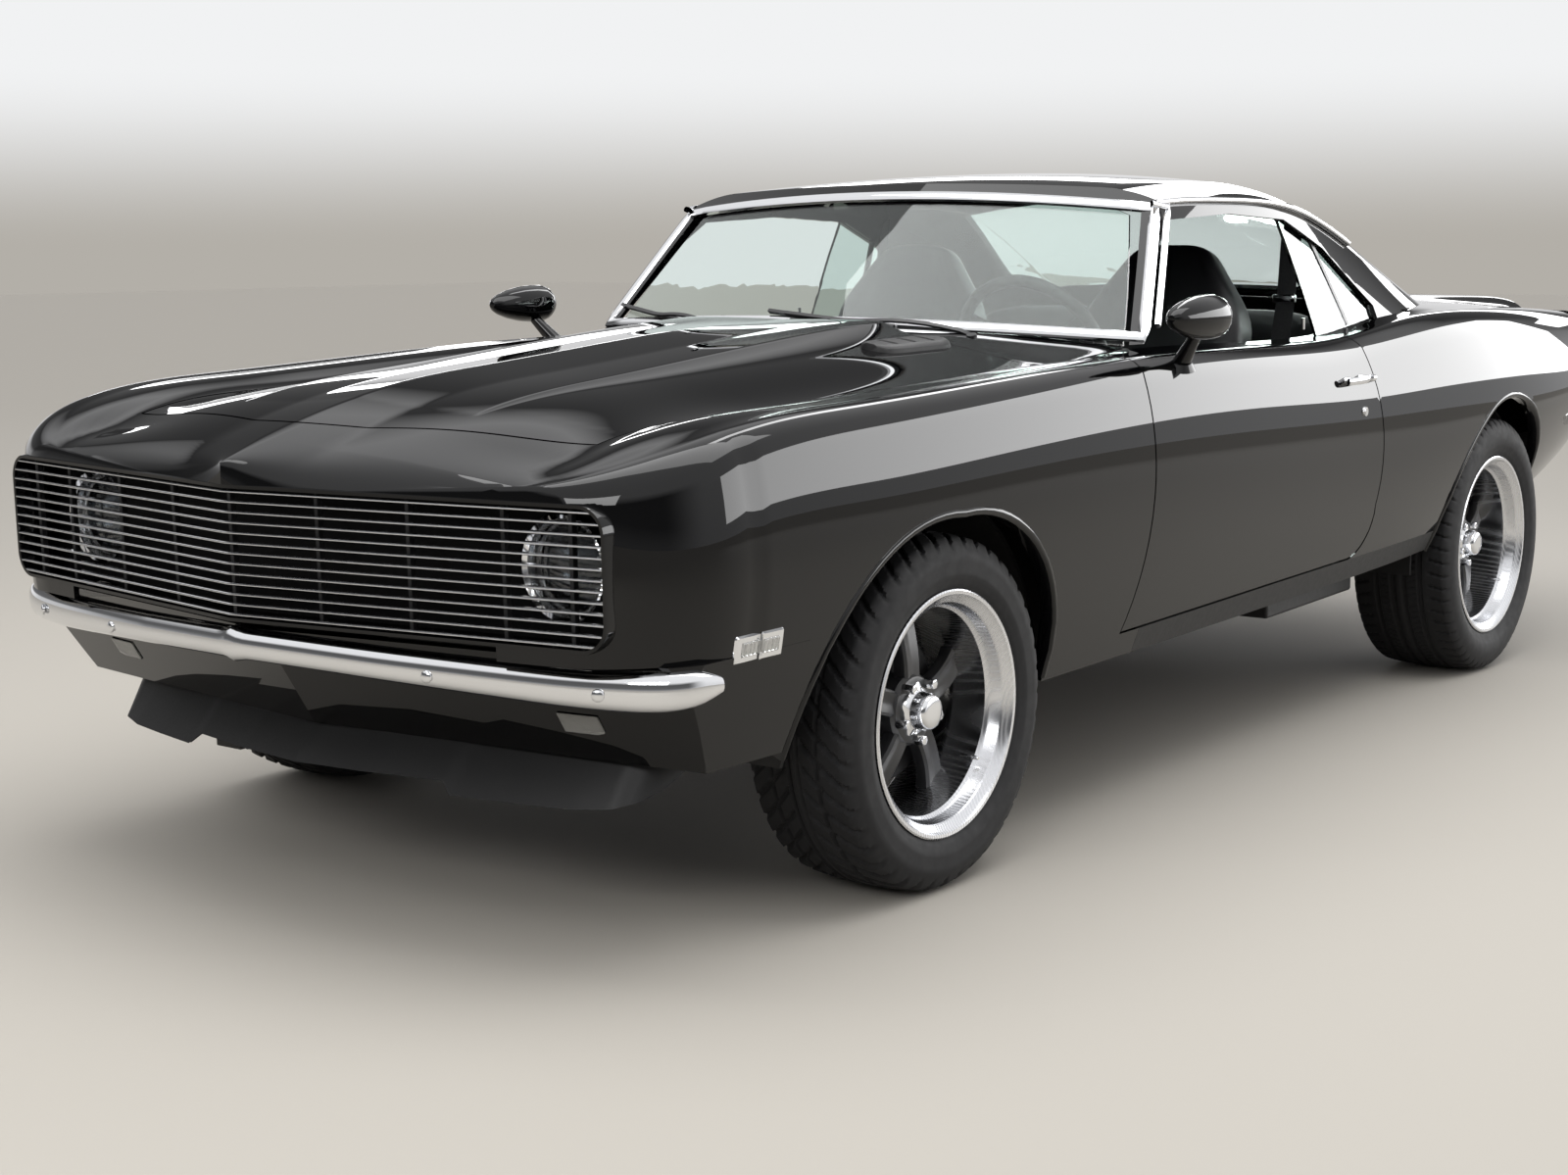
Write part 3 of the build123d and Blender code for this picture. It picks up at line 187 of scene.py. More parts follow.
def plan_x(s):
    """Half width of the body's plan: swept nose, rounded corners, bowed tail. Between them it sets no limit."""
    if s < CORNER_S:
        return max((s - NOSE_S) / NOSE_SWEEP, 0.0)
    if s < CORNER_END:
        return circle_x(s, (CORNER_X, CORNER_S), (828, -752), (886, CORNER_END))
    if s > TAIL_CORNER:
        return 700 * sqrt(max((TAIL_S - s) / (TAIL_S - TAIL_CORNER), 0.0))
    if s > TAIL_START:
        return circle_x(s, (880, TAIL_START), (850, 3610), (700, TAIL_CORNER))
    return 2000.0


def smooth(t):
    """Eases from 0 to 1."""
    t = min(max(t, 0.0), 1.0)
    return t * t * (3 - 2 * t)


RIDGE_H = 13.0            # crest along the middle of the nose and hood
RIDGE_X = 150.0


def crest(x, s):
    """The ridge along the middle of the nose, which fades out up the hood."""
    fade = 1 - smooth((s - 200) / 460)
    return RIDGE_H * fade * max(1 - abs(x) / RIDGE_X, 0.0) if s < 680 else 0.0


def valley(x, s):
    """The dip along the hood's side edges, inside the crest of the fenders."""
    edge = 598 + 74 * (s + 632) / 1296
    deep = (24 + 10 * smooth((s + 641) / 500)) * smooth((s + 900) / 200) * (1 - smooth((s - 690) / 220))
    off = abs(x) - edge
    return deep * exp(-(off / (210 if off < 0 else 72)) ** 2)


def body_point(s, q):
    """Point of the body's section at station s; q runs from the sill, 0, to the middle of the top, 4."""
    row = Section(*body_at(s))
    k = min(1.0, plan_x(s) / row.crease_x)
    if q <= 1:
        x, z = bow((row.low_x, row.low_z), (row.crease_x, row.crease_z), row.bulge, q)
    elif q <= 2:
        x, z = bow((row.crease_x, row.crease_z), (row.shoulder_x, row.shoulder_z), row.bulge * 0.7, q - 1)
    elif q <= 3:
        x, z = bow((row.shoulder_x, row.shoulder_z), (row.top_x, row.top_z), 12, q - 2)
    else:
        x = row.top_x * (4 - q)
        z = row.top_z + (row.crown_z - row.top_z) * (1 - (4 - q) ** 2)
    if q > 3:
        z += crest(x * k, s) - valley(x * k, s)
    return x * k, z


def cabin_point(s, q):
    """Point of the cabin's section; q runs from the base, 0, over the rail, 1, to the middle of the roof, 3."""
    base_x, rail_x, rail_z, crown_z = cabin_at(s)
    edge = (rail_x - 150, rail_z + (crown_z - rail_z) * 0.62)
    if q <= 1:
        return bow((base_x, BELT_Z), (rail_x, rail_z), 7, q)
    if q <= 2:
        return bow((rail_x, rail_z), edge, 6, q - 1)
    t = 3 - q
    return edge[0] * t, edge[1] + (crown_z - edge[1]) * (1 - t * t)


def cabin_x(s, z):
    """Half width of the cabin's side at a height, up to its rail."""
    return cabin_point(s, min((z - BELT_Z) / (cabin_at(s)[2] - BELT_Z), 1.0))[0]


# Meshes


def finished(name, bm, surface, body, smooth_angle=35.0, replaced=()):
    """Makes an object of a bmesh in metres, with its finish, and rides it on its body."""
    mesh = bpy.data.meshes.new(name)
    bm.normal_update()
    bm.to_mesh(mesh)
    bm.free()
    return dress(bpy.data.objects.new(name, mesh), surface, body, smooth_angle, replaced)


def dress(obj, surface, body, smooth_angle=35.0, replaced=()):
    """Gives an object its finish and its body, and hides the nodes that it replaces."""
    bpy.context.scene.collection.objects.link(obj)
    mesh = obj.data
    mesh.materials.append(FINISH[surface])
    mesh.shade_smooth()
    mesh.set_sharp_from_angle(angle=radians(smooth_angle))
    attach(obj, body)
    if replaced:
        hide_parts(*replaced)
    return obj


def patch(nu, nv, point, wrap=False):
    """A grid whose corners move to point(u, v), with u and v from 0 to 1."""
    bm = bmesh.new()
    bmesh.ops.create_grid(bm, x_segments=nu, y_segments=nv, size=0.5)
    for v in bm.verts:
        v.co = point(min(max(v.co.x + 0.5, 0), 1), min(max(v.co.y + 0.5, 0), 1))
    if wrap:
        bmesh.ops.remove_doubles(bm, verts=bm.verts, dist=1e-5)
    bmesh.ops.recalc_face_normals(bm, faces=bm.faces)
    return bm


def tube(nu, nv, point):
    """A closed loop v swept along u, with flat ends."""
    bm = patch(nu, nv, point, wrap=True)
    bmesh.ops.holes_fill(bm, edges=[e for e in bm.edges if e.is_boundary], sides=0)
    bmesh.ops.recalc_face_normals(bm, faces=bm.faces)
    return bm


def pushed(bm, vector):
    """Closes an open sheet to a block by pushing it along a vector."""
    made = bmesh.ops.extrude_face_region(bm, geom=bm.faces[:])
    bmesh.ops.translate(bm, verts=[g for g in made["geom"] if isinstance(g, bmesh.types.BMVert)], vec=vector)
    bmesh.ops.recalc_face_normals(bm, faces=bm.faces)
    return bm


def prism(points, vector):
    """A closed block: the outline in metres, pushed along a vector."""
    bm = bmesh.new()
    bm.faces.new([bm.verts.new(p) for p in points])
    return pushed(bm, vector)


def upward(bm, thickness):
    """Turns a skin's faces up and gives it a wall below, thickness in metres."""
    top = max(bm.faces, key=lambda f: f.calc_center_median().z)
    if top.normal.z < 0:
        bmesh.ops.reverse_faces(bm, faces=bm.faces)
    bmesh.ops.solidify(bm, geom=bm.faces[:], thickness=thickness)
    return bm


def skin(stations, rows, section_point, thickness):
    """A wall over the car's whole width, through the points (s, q) of a section's right and left half."""
    across = [(q, 1) for q in rows] + [(q, -1) for q in rows[-2::-1]]

    def point(u, v):
        s = stations[round(u * (len(stations) - 1))]
        q, sign = across[round(v * (len(across) - 1))]
        x, z = section_point(s, q)
        return place(x * sign, s, z)

    bm = patch(len(stations) - 1, len(across) - 1, point)
    bmesh.ops.remove_doubles(bm, verts=bm.verts, dist=1e-4)
    return upward(bm, thickness)


def side_prism(outline, x0, x1):
    """A block across the body: an outline (s, z) from x0 to x1."""
    return prism([place(x0, s, z) for s, z in outline], place(x1, 0, 0) - place(x0, 0, 0))


def plan_prism(outline, z0, z1):
    """An upright block: an outline (x, s) from z0 to z1."""
    return prism([place(x, s, z0) for x, s in outline], place(0, 0, z1) - place(0, 0, z0))


def block(x0, x1, s0, s1, z0, z1):
    """A box in the body's frame."""
    return side_prism([(s0, z0), (s1, z0), (s1, z1), (s0, z1)], x0, x1)


def arc(p0, p1, p2, n=16):
    """Points of the circle from p0 over p1 to p2, both ends in."""
    ux, uy, r = circle_centre(p0, p1, p2)
    a0, a1, a2 = (atan2(y - uy, x - ux) for x, y in (p0, p1, p2))
    turn, mid = (a2 - a0) % (2 * pi), (a1 - a0) % (2 * pi)
    if mid > turn:
        turn -= 2 * pi
    return [(ux + r * cos(a0 + turn * i / n), uy + r * sin(a0 + turn * i / n)) for i in range(n + 1)]


def merged(*parts):
    """One bmesh of several, which are freed."""
    whole = bmesh.new()
    for bm in parts:
        mesh = bpy.data.meshes.new("part")
        bm.to_mesh(mesh)
        whole.from_mesh(mesh)
        bm.free()
        bpy.data.meshes.remove(mesh)
    return whole


def carve(base, *steps):
    """Applies boolean steps to a bmesh: ("INTERSECT" or "DIFFERENCE", bmesh of the tool)."""
    scene = bpy.context.scene
    made = []
    for bm in (base, *(tool for _, tool in steps)):
        mesh = bpy.data.meshes.new("carve")
        bm.to_mesh(mesh)
        bm.free()
        obj = bpy.data.objects.new("carve", mesh)
        scene.collection.objects.link(obj)
        made.append(obj)
    for (kind, _), tool in zip(steps, made[1:]):
        step = made[0].modifiers.new(kind, "BOOLEAN")
        step.operation, step.solver, step.object = kind, "MANIFOLD", tool
    graph = bpy.context.evaluated_depsgraph_get()
    graph.update()
    bm = bmesh.new()
    bm.from_mesh(made[0].evaluated_get(graph).to_mesh())
    made[0].evaluated_get(graph).to_mesh_clear()
    for obj in made:
        mesh = obj.data
        bpy.data.objects.remove(obj)
        bpy.data.meshes.remove(mesh)
    bmesh.ops.remove_doubles(bm, verts=bm.verts, dist=2e-5)
    return bm


def rounded(obj, width=0.0012, segments=2, angle=40.0):
    """Softens a finished piece's sharp edges."""
    step = obj.modifiers.new("Edges", "BEVEL")
    step.width, step.segments, step.limit_method, step.angle_limit = width, segments, "ANGLE", radians(angle)
    step.harden_normals = True
    return obj


def bevelled(bm, width, segments=2, edges=None):
    """Bevels the sharp edges of a bmesh."""
    edges = edges or [e for e in bm.edges if e.is_manifold and e.calc_face_angle() > radians(30)]
    bmesh.ops.bevel(
        bm, geom=edges, offset=width, offset_type="OFFSET", segments=segments, profile=0.5, affect="EDGES",
        material=-1, clamp_overlap=True,
    )
    return bm


def strip(path, up, profile, closed=False):
    """A moulding: profile (out, up) in millimetres swept along level (x, s, z) points. up is the
    (x, s, z) direction of the profile's second axis."""
    points = [Vector(p) for p in path]
    n, m = len(points), len(profile)
    last = n if closed else n - 1

    def point(u, v):
        i = min(round(u * last), last)
        here = points[i % n]
        ahead = points[(i + 1) % n] if closed or i < n - 1 else here
        behind = points[(i - 1) % n] if closed or i > 0 else here
        along = (ahead - behind).normalized()
        side = along.cross(Vector(up)).normalized()
        lift = side.cross(along).normalized()
        a, b = profile[round(v * m) % m]
        return place(*(here + side * a + lift * b))

    bm = patch(last, m, point, wrap=True)
    if not closed:
        bmesh.ops.holes_fill(bm, edges=[e for e in bm.edges if e.is_boundary], sides=0)
    bmesh.ops.recalc_face_normals(bm, faces=bm.faces)
    return bm


def ellipse(a, b, n=12):
    """Points of an ellipse with the half axes a and b."""
    return [(a * cos(2 * pi * i / n), b * sin(2 * pi * i / n)) for i in range(n)]


def lathe(profile, steps, axis, centre):
    """Spins (distance along the axis, radius) points in millimetres about X or Y through a centre in metres."""
    bm = bmesh.new()
    verts = [bm.verts.new((d / 1000, 0, r / 1000) if axis[0] else (0, d / 1000, r / 1000)) for d, r in profile]
    for a, b in zip(verts, verts[1:]):
        bm.edges.new((a, b))
    bmesh.ops.spin(
        bm, geom=bm.verts[:] + bm.edges[:], cent=(0, 0, 0), axis=axis, angle=2 * pi, steps=steps, use_merge=True
    )
    bmesh.ops.remove_doubles(bm, verts=bm.verts, dist=1e-6)
    bmesh.ops.recalc_face_normals(bm, faces=bm.faces)
    bmesh.ops.translate(bm, verts=bm.verts, vec=centre)
    return bm


def turned(profile, steps, centre, sign, wave=None):
    """Spins (x, radius) points about a level axis along X through centre (x, s, z), x outward on the side of
    the sign. wave(x, radius, angle) gives each point's new radius."""
    bm = lathe([(x * sign, r) for x, r in profile], steps, (1, 0, 0), (0, 0, 0))
    if wave:
        for v in bm.verts:
            r = sqrt(v.co.y**2 + v.co.z**2)
            if r > 1e-6:
                new = wave(v.co.x * 1000, r * 1000, atan2(v.co.y, v.co.z)) / 1000
                v.co.y, v.co.z = v.co.y * new / r, v.co.z * new / r
        bmesh.ops.recalc_face_normals(bm, faces=bm.faces)
    bmesh.ops.translate(bm, verts=bm.verts, vec=level(*centre))
    return bm


# Finishes


def colour(code):
    """Linear colour with alpha of an sRGB hex code, or of a colour property."""
    if not isinstance(code, str):
        return (*code, 1.0)
    parts = (int(code[i:i + 2], 16) / 255 for i in (1, 3, 5))
    return (*(c / 12.92 if c < 0.04045 else ((c + 0.055) / 1.055) ** 2.4 for c in parts), 1.0)


def add(tree, kind, settings=None, inputs=None):
    """Adds a node with its settings and links."""
    made = tree.nodes.new(kind)
    for key, value in (settings or {}).items():
        setattr(made, key, value)
    for key, value in (inputs or {}).items():
        if isinstance(value, bpy.types.NodeSocket):
            tree.links.new(value, made.inputs[key])
        else:
            made.inputs[key].default_value = value
    return made


def finish(name, code, metallic=0.0, rough=0.5, spread=0.05, grain=1.0, bump=0.0, pattern="NOISE", tint=0.0,
           **sockets):
    """A procedural surface. grain is the size in millimetres of what varies its roughness, shade and
    relief, and bump the height of that relief."""
    material = bpy.data.materials.new(name)
    material.use_nodes = True
    tree = material.node_tree
    tree.nodes.clear()
    where = add(tree, "ShaderNodeTexCoord").outputs["Object"]
    if pattern == "LEATHER":
        made = add(tree, "ShaderNodeTexVoronoi", {"feature": "DISTANCE_TO_EDGE"},
                   {"Vector": where, "Scale": 1000 / grain})
        value = made.outputs["Distance"]
    elif pattern == "LATHE":
        made = add(tree, "ShaderNodeTexWave", {"wave_type": "RINGS", "rings_direction": "X"},
                   {"Vector": where, "Scale": 1000 / grain / 20, "Distortion": 0.4, "Detail": 2.0})
        value = made.outputs["Fac"]
    else:
        made = add(tree, "ShaderNodeTexNoise", {}, {"Vector": where, "Scale": 1000 / grain / 4, "Detail": 3.0})
        value = made.outputs["Fac"]
    gloss = add(tree, "ShaderNodeMapRange", {},
                {"Value": value, "To Min": max(rough - spread, 0.0), "To Max": rough + spread})
    inputs = {"Base Color": colour(code), "Metallic": metallic, "Roughness": gloss.outputs["Result"]}
    if tint:
        shade = tuple(c * (1 - tint) for c in colour(code)[:3]) + (1.0,)
        broad = add(tree, "ShaderNodeTexNoise", {}, {"Vector": where, "Scale": 1000 / grain / 24, "Detail": 4.0})
        inputs["Base Color"] = add(tree, "ShaderNodeMix", {"data_type": "RGBA"},
                                   {"Factor": broad.outputs["Fac"], 6: colour(code), 7: shade}).outputs[2]
    if bump:
        relief = add(tree, "ShaderNodeBump", {}, {"Height": value, "Strength": 1.0, "Distance": bump / 1000})
        inputs["Normal"] = relief.outputs["Normal"]
    inputs.update({key.replace("_", " "): v for key, v in sockets.items()})
    shader = add(tree, "ShaderNodeBsdfPrincipled", {}, inputs)
    add(tree, "ShaderNodeOutputMaterial", {}, {"Surface": shader.outputs["BSDF"]})
    FINISH[name] = material
    return material


def make_finishes(look):
    """Makes every finish. The colours that a user may change come from the panel."""
    # Black enamel under clear lacquer, polished: a mirror with the faintest ripple
    finish("black_enamel", look.paint, rough=0.5, spread=0.02, grain=3, Specular_IOR_Level=0.0, Coat_Weight=1.0,
           Coat_Roughness=0.012, Coat_IOR=1.45)
    # Plated steel, buffed
    finish("chrome_plate", look.chrome, 1.0, 0.06, 0.02, 12)
    # Billet aluminium, turned: fine rings round the wheel's axis, drawn coarser than they are so that they show
    finish("polished_aluminium", look.polished, 1.0, 0.22, 0.07, 1.2, pattern="LATHE")
    # The same metal as the grille's bars, brushed
    finish("billet_bar", look.polished, 1.0, 0.2, 0.05, 2.0)
    # Wheel lacquer, satin
    finish("satin_black_lacquer", "#1B1B1D", 0.0, 0.36, 0.05, 0.8, 0.01, Coat_Weight=0.3, Coat_Roughness=0.3)
    # Chassis paint, thick and matt, dusty in patches
    finish("chassis_black", "#161617", 0.0, 0.55, 0.1, 3, 0.05, tint=0.3)
    # Polypropylene, moulded with a fine grain: a soft grey sheen where it faces the light
    finish("moulded_black_plastic", "#141415", 0.0, 0.5, 0.08, 1.0, 0.03)
    # Sheet behind the grille, sprayed flat so that it disappears
    finish("flat_black", "#060607", 0.0, 0.85, 0.05, 2.0, 0.02, Specular_IOR_Level=0.2)
    # Cast iron under heat paint, rough from the sand
    finish("cast_iron", "#3A3A3B", 0.6, 0.65, 0.1, 3, 0.2, tint=0.4)
    # Rolled steel of springs and pipes, dulled
    finish("bare_steel", "#8B8B8C", 1.0, 0.42, 0.12, 6, 0.02, tint=0.3)
    # Tread rubber, dusty where it meets the road
    finish("tyre_rubber", "#1C1C1E", 0.0, 0.72, 0.12, 5, 0.06, tint=0.35, Specular_IOR_Level=0.35)
    # Upholstery vinyl with a leather grain: a broken sheen
    finish("black_vinyl", "#17171A", 0.0, 0.5, 0.08, 1.6, 0.12, pattern="LEATHER")
    # Woven polyester belt
    finish("seat_belt_web", "#101012", 0.0, 0.8, 0.1, 1.6, 0.1)
    # Loop carpet, nearly without gloss
    finish("moulded_carpet", "#121214", 0.0, 0.95, 0.04, 2.0, 0.5, tint=0.3, Sheen_Weight=0.2)
    # Windows: float glass with the faint green of its iron
    finish("window_glass", "#E4F0EC", 0.0, 0.0, 0.0, 50, Transmission_Weight=1.0, IOR=1.45)
    # Pressed lamp glass with its flutes, and tinted acrylic lenses
    finish("lamp_lens", "#E8ECEF", 0.0, 0.03, 0.02, 9, 0.4, Transmission_Weight=1.0, IOR=1.45)
    # Reflector: vacuum plating, its colour darkened as painted shade inside the lamp
    finish("reflector_painted_shade", "#45484B", 1.0, 0.14, 0.05, 6)
    finish("smoked_lens", "#D9D9D6", 0.0, 0.06, 0.02, 6, 0.4, Transmission_Weight=0.7, IOR=1.45)
    finish("red_lens", "#8C0B0B", 0.0, 0.08, 0.03, 6, 0.3, Transmission_Weight=0.3, IOR=1.49)


# Painted body


def body_shell():
    """The whole painted skin as one closed wall, from sill to sill, which the panels are cut from."""
    stations = [NOSE_S + NOSE_SWEEP * CORNER_X * i / 14 + 0.02 for i in range(14)]
    stations += [CORNER_S + (CORNER_END - CORNER_S) * (0.25 * i / 24 + 0.75 * (i / 24) ** 2) for i in range(24)]
    stations += [CORNER_END + (TAIL_START - CORNER_END) * i / 190 for i in range(190)]
    for i in range(20):
        k = 1 - i / 20
        stations.append(TAIL_CORNER - (TAIL_CORNER - TAIL_START) * (0.25 * k + 0.75 * k**2))
    stations += [TAIL_CORNER + 7.98 * (1 - (1 - i / 10) ** 2) for i in range(11)]
    rows = [*np.linspace(0, 1, 9), *np.linspace(1, 2, 8)[1:], *np.linspace(2, 3, 6)[1:], *np.linspace(3, 4, 29)[1:]]
    return skin(stations, rows, body_point, SHELL_T / 1000)


def door_outline(grow):
    """The door's edge from the side, (s, z), grown by its shut gap."""
    top = [(690 - grow, 1010), (1752 + grow, 1010)]
    rear = arc((1752 + grow, 1000), (1858 + grow, 790), (1872 + grow, 500), 20)
    corner = arc((1872 + grow, 500), (1850 + grow, 412 - grow), (1780 + grow, 378 - grow), 8)[1:]
    front = arc((664 - grow, 378 - grow), (712 - grow, 660), (690 - grow, 1000), 20)
    return top + rear + corner + front


def hood_outline(grow):
    """The hood's edge from above, (x, s)."""
    f, r = HOOD["front"] - grow, HOOD["rear"] + grow
    fx, rx = HOOD["front_x"] + grow, HOOD["rear_x"] + grow
    return [(0, HOOD["front_mid"] - grow), (fx, f), (rx, r), (-rx, r), (-fx, f)]


def lid_outline(grow):
    """The trunk lid's edge from above, (x, s)."""
    f, r = LID["front"] - grow, LID["rear"] + grow
    fx, rx = LID["front_x"] + grow, LID["rear_x"] + grow
    return [(-fx, f), (fx, f), (rx, r), (-rx, r)]


def front_arch_outline():
    """The front wheel's opening, from three radii."""
    front = arc((FRONT_ARCH_S, 330), (-310, 610), (0, 709), 20)[1:]
    rear = arc((0, 709), (268, 610), (384, 330), 20)[1:]
    return [(FRONT_ARCH_S, UNDER_Z), (FRONT_ARCH_S, 330)] + front + rear + [(384, UNDER_Z)]


def rear_arch_outline():
    """The rear wheel's round opening."""
    s, z = REAR_AXLE_S, 318
    return [(s - 388, 180), (s - 388, z)] + arc((s - 388, z), (s, z + 384), (s + 384, z), 40)[1:] + [(s + 384, 180)]


def mouth_outline(x1, steps):
    """The grille's opening from ahead, (x, z): straight edges and round corners of so many steps."""
    (z0, z1), r = GRILLE_Z, GRILLE_R
    outline = []
    for cx, cz, a in ((x1 - r, z0 + r, -90), (x1 - r, z1 - r, 0), (r - x1, z1 - r, 90), (r - x1, z0 + r, 180)):
        turns = (radians(a + 90 * i / steps) for i in range(steps + 1))
        outline += [(cx + r * cos(turn), cz + r * sin(turn)) for turn in turns]
    return outline


def mouth():
    """A block through the nose that cuts the grille's opening."""
    return prism([place(x, -1000, z) for x, z in mouth_outline(GRILLE_X, 6)], place(0, -700, 0) - place(0, -1000, 0))


def door_core(sign):
    """The door's inner box, closed, just inside its painted skin."""
    rows = [*np.linspace(0, 1, 7), *np.linspace(1, 2, 6)[1:], *np.linspace(2, 3, 5)[1:], *np.linspace(3, 4, 8)[1:]]

    def closed(u, v):
        i = round(v * (len(rows) + 1)) % (len(rows) + 1)
        s = 600 + 1350 * u
        if i == len(rows):
            return place(0, s, body_point(s, 0)[1])
        x, z = body_point(s, rows[i])
        return place(max(x - 11, 0) * sign, s, z - (8 if rows[i] > 2 else 0))

    return carve(
        tube(40, len(rows) + 1, closed),
        ("INTERSECT", side_prism(door_outline(-24), *span(752, 1000, sign))),
        ("DIFFERENCE", block(*span(700, 812, sign), 560, 800, 200, 1150)),
    )


def panel(name, shell, body, replaced, *steps):
    """Cuts a painted panel out of a copy of the shell."""
    cut = carve(shell.copy(), *steps)
    rounded(finished(name, cut, "black_enamel", body, replaced=(replaced,)))


def build_body():
    """Cuts fenders, doors, quarters, header, cowl and deck from one shell, so that they meet flush."""
    shell = body_shell()
    for side, sign in SIDES:
        outer = span(PANEL_X, OUT_X, sign)
        panel(
            f"fender_skin_{side}", shell, "body", f"fender_{side}",
            ("INTERSECT", block(*outer, AHEAD_S, FENDER_REAR, UNDER_Z, OVER_Z)),
            ("DIFFERENCE", block(*span(0, OUT_X, sign), AHEAD_S, FRONT_ARCH_S, UNDER_Z, 545)),
            ("DIFFERENCE", plan_prism(hood_outline(GAP), 760, OVER_Z)),
            ("DIFFERENCE", block(*span(500, COWL_X, sign), COWL_FRONT, 760, 800, OVER_Z)),
            ("DIFFERENCE", side_prism(door_outline(GAP), *span(DOOR_IN_X, OUT_X, sign))),
            ("DIFFERENCE", side_prism(front_arch_outline(), *span(780, OUT_X, sign))),
            ("DIFFERENCE", mouth()),
        )
        panel(
            f"door_skin_{side}", shell, f"door_{side}", f"door_{side}",
            ("INTERSECT", side_prism(door_outline(0), *span(DOOR_IN_X + GAP, OUT_X, sign))),
        )
        trim = finished(f"door_trim_{side}", door_core(sign), "black_vinyl", f"door_{side}", 40)
        rounded(trim, 0.006, 3)
        panel(
            f"quarter_skin_{side}", shell, "body", f"quarter_{side}",
            ("INTERSECT", block(*outer, 1745, TAIL_S - 1, UNDER_Z, OVER_Z)),
            ("DIFFERENCE", block(*span(0, OUT_X, sign), 1700, REAR_AXLE_S - 392, UNDER_Z, 373)),
            ("DIFFERENCE", plan_prism(lid_outline(GAP), 820, OVER_Z)),
            ("DIFFERENCE", side_prism(door_outline(GAP), *span(DOOR_IN_X, OUT_X, sign))),
            ("DIFFERENCE", side_prism(rear_arch_outline(), *span(780, OUT_X, sign))),
            ("DIFFERENCE", block(*span(400, DOOR_IN_X, sign), 1700, 2440, UNDER_Z, OVER_Z)),
        )
    panel(
        "header_skin", shell, "body", "header_panel",
        ("INTERSECT", block(-PANEL_X, PANEL_X, AHEAD_S, HOOD["front"], 700, OVER_Z)),
        ("DIFFERENCE", plan_prism(hood_outline(GAP), 760, OVER_Z)),
        ("DIFFERENCE", mouth()),
    )
    panel(
        "cowl_skin", shell, "body", "cowl",
        ("INTERSECT", block(-DOOR_IN_X, DOOR_IN_X, COWL_FRONT, 900, 800, OVER_Z)),
        ("DIFFERENCE", block(COWL_X, 800, 600, FENDER_REAR, 800, OVER_Z)),
        ("DIFFERENCE", block(-800, -COWL_X, 600, FENDER_REAR, 800, OVER_Z)),
    )
    panel(
        "deck_skin", shell, "body", "rear_deck",
        ("INTERSECT", block(-PANEL_X, PANEL_X, 2560, LID["front"] - GAP, 800, OVER_Z)),
    )
    shell.free()


# The raised middle's side edges: a pointed tip ahead, then a flank that widens and deepens rearward
STRAKE = {"tip_s": -613.0, "end_s": 640.0, "tip_x": 306.0, "end_x": 268.0, "tip_wide": 5.0, "wide": 150.0,
          "high": 27.0}


def strake_edge(s):
    """How far along the raised middle a station lies, 0 to 1, and the x of its upper side edge there."""
    t = min(max((s - STRAKE["tip_s"]) / (STRAKE["end_s"] - STRAKE["tip_s"]), -0.3), 1.0)
    return max(t, 0.0), STRAKE["tip_x"] + (STRAKE["end_x"] - STRAKE["tip_x"]) * t


def hood_height(x, s):
    """Height of the raised middle over the plain surface, with a hollow flank each side."""
    t = min(max((s - STRAKE["tip_s"]) / (STRAKE["end_s"] - STRAKE["tip_s"]), 0.0), 1.0)
    upper = STRAKE["tip_x"] + (STRAKE["end_x"] - STRAKE["tip_x"]) * t
    high = STRAKE["high"] * t**0.8
    if abs(x) <= upper:
        return high * (1 - 0.25 * (1 - abs(x) / upper))
    r = (abs(x) - upper) / (STRAKE["tip_wide"] + STRAKE["wide"] * t)
    return high * (1 - r) ** 2.2 if r < 1 else 0.0


def top_z(x, s, k=1.0):
    """Height of the painted top over a point, with the hood's raised middle. k narrows the section at the nose."""
    row = Section(*body_at(s))
    z = row.top_z + (row.crown_z - row.top_z) * (1 - (x / k / row.top_x) ** 2) + crest(x, s) - valley(x, s)
    return z + (hood_height(x, s) if s < COWL_FRONT else 0)


def side_x(s, z):
    """Half width of the painted side at a height."""
    low, high = 0.0, 2.6
    for _ in range(22):
        q = (low + high) / 2
        if body_point(s, q)[1] < z:
            low = q
        else:
            high = q
    return body_point(s, q)[0]


def build_hood():
    """The hood as one skin. Its grid's columns follow the edges of the raised middle and its flanks."""
    length = HOOD["rear"] - HOOD["front"]

    def point(u, v):
        s = x = 0.0
        for _ in range(4):
            front = HOOD["front_mid"] + (HOOD["front"] - HOOD["front_mid"]) * abs(x) / HOOD["front_x"]
            s = front + (HOOD["rear"] - front) * v
            edge = HOOD["front_x"] + (HOOD["rear_x"] - HOOD["front_x"]) * (s - HOOD["front"]) / length
            t, upper = strake_edge(s)
            lower = upper + STRAKE["tip_wide"] + STRAKE["wide"] * t
            x = float(np.interp(abs(2 * u - 1), (0, 0.4, 0.62, 1), (0, upper, lower, edge)))
        k = min(1.0, plan_x(s) / Section(*body_at(s)).crease_x)
        return place(x if u >= 0.5 else -x, s, top_z(x, s, k))

    bm = upward(patch(150, 130, point), 0.018)
    rounded(finished("hood_skin", bm, "black_enamel", "hood", replaced=("hood",)))


# The windshield: half its foot's width, how far that bows, where its foot is, and how far back it leans per
# millimetre of height
GLASS_X, GLASS_BOW, GLASS_S, GLASS_Z, GLASS_LEAN = 851.0, 159.0, 791.0, 946.0, 0.938


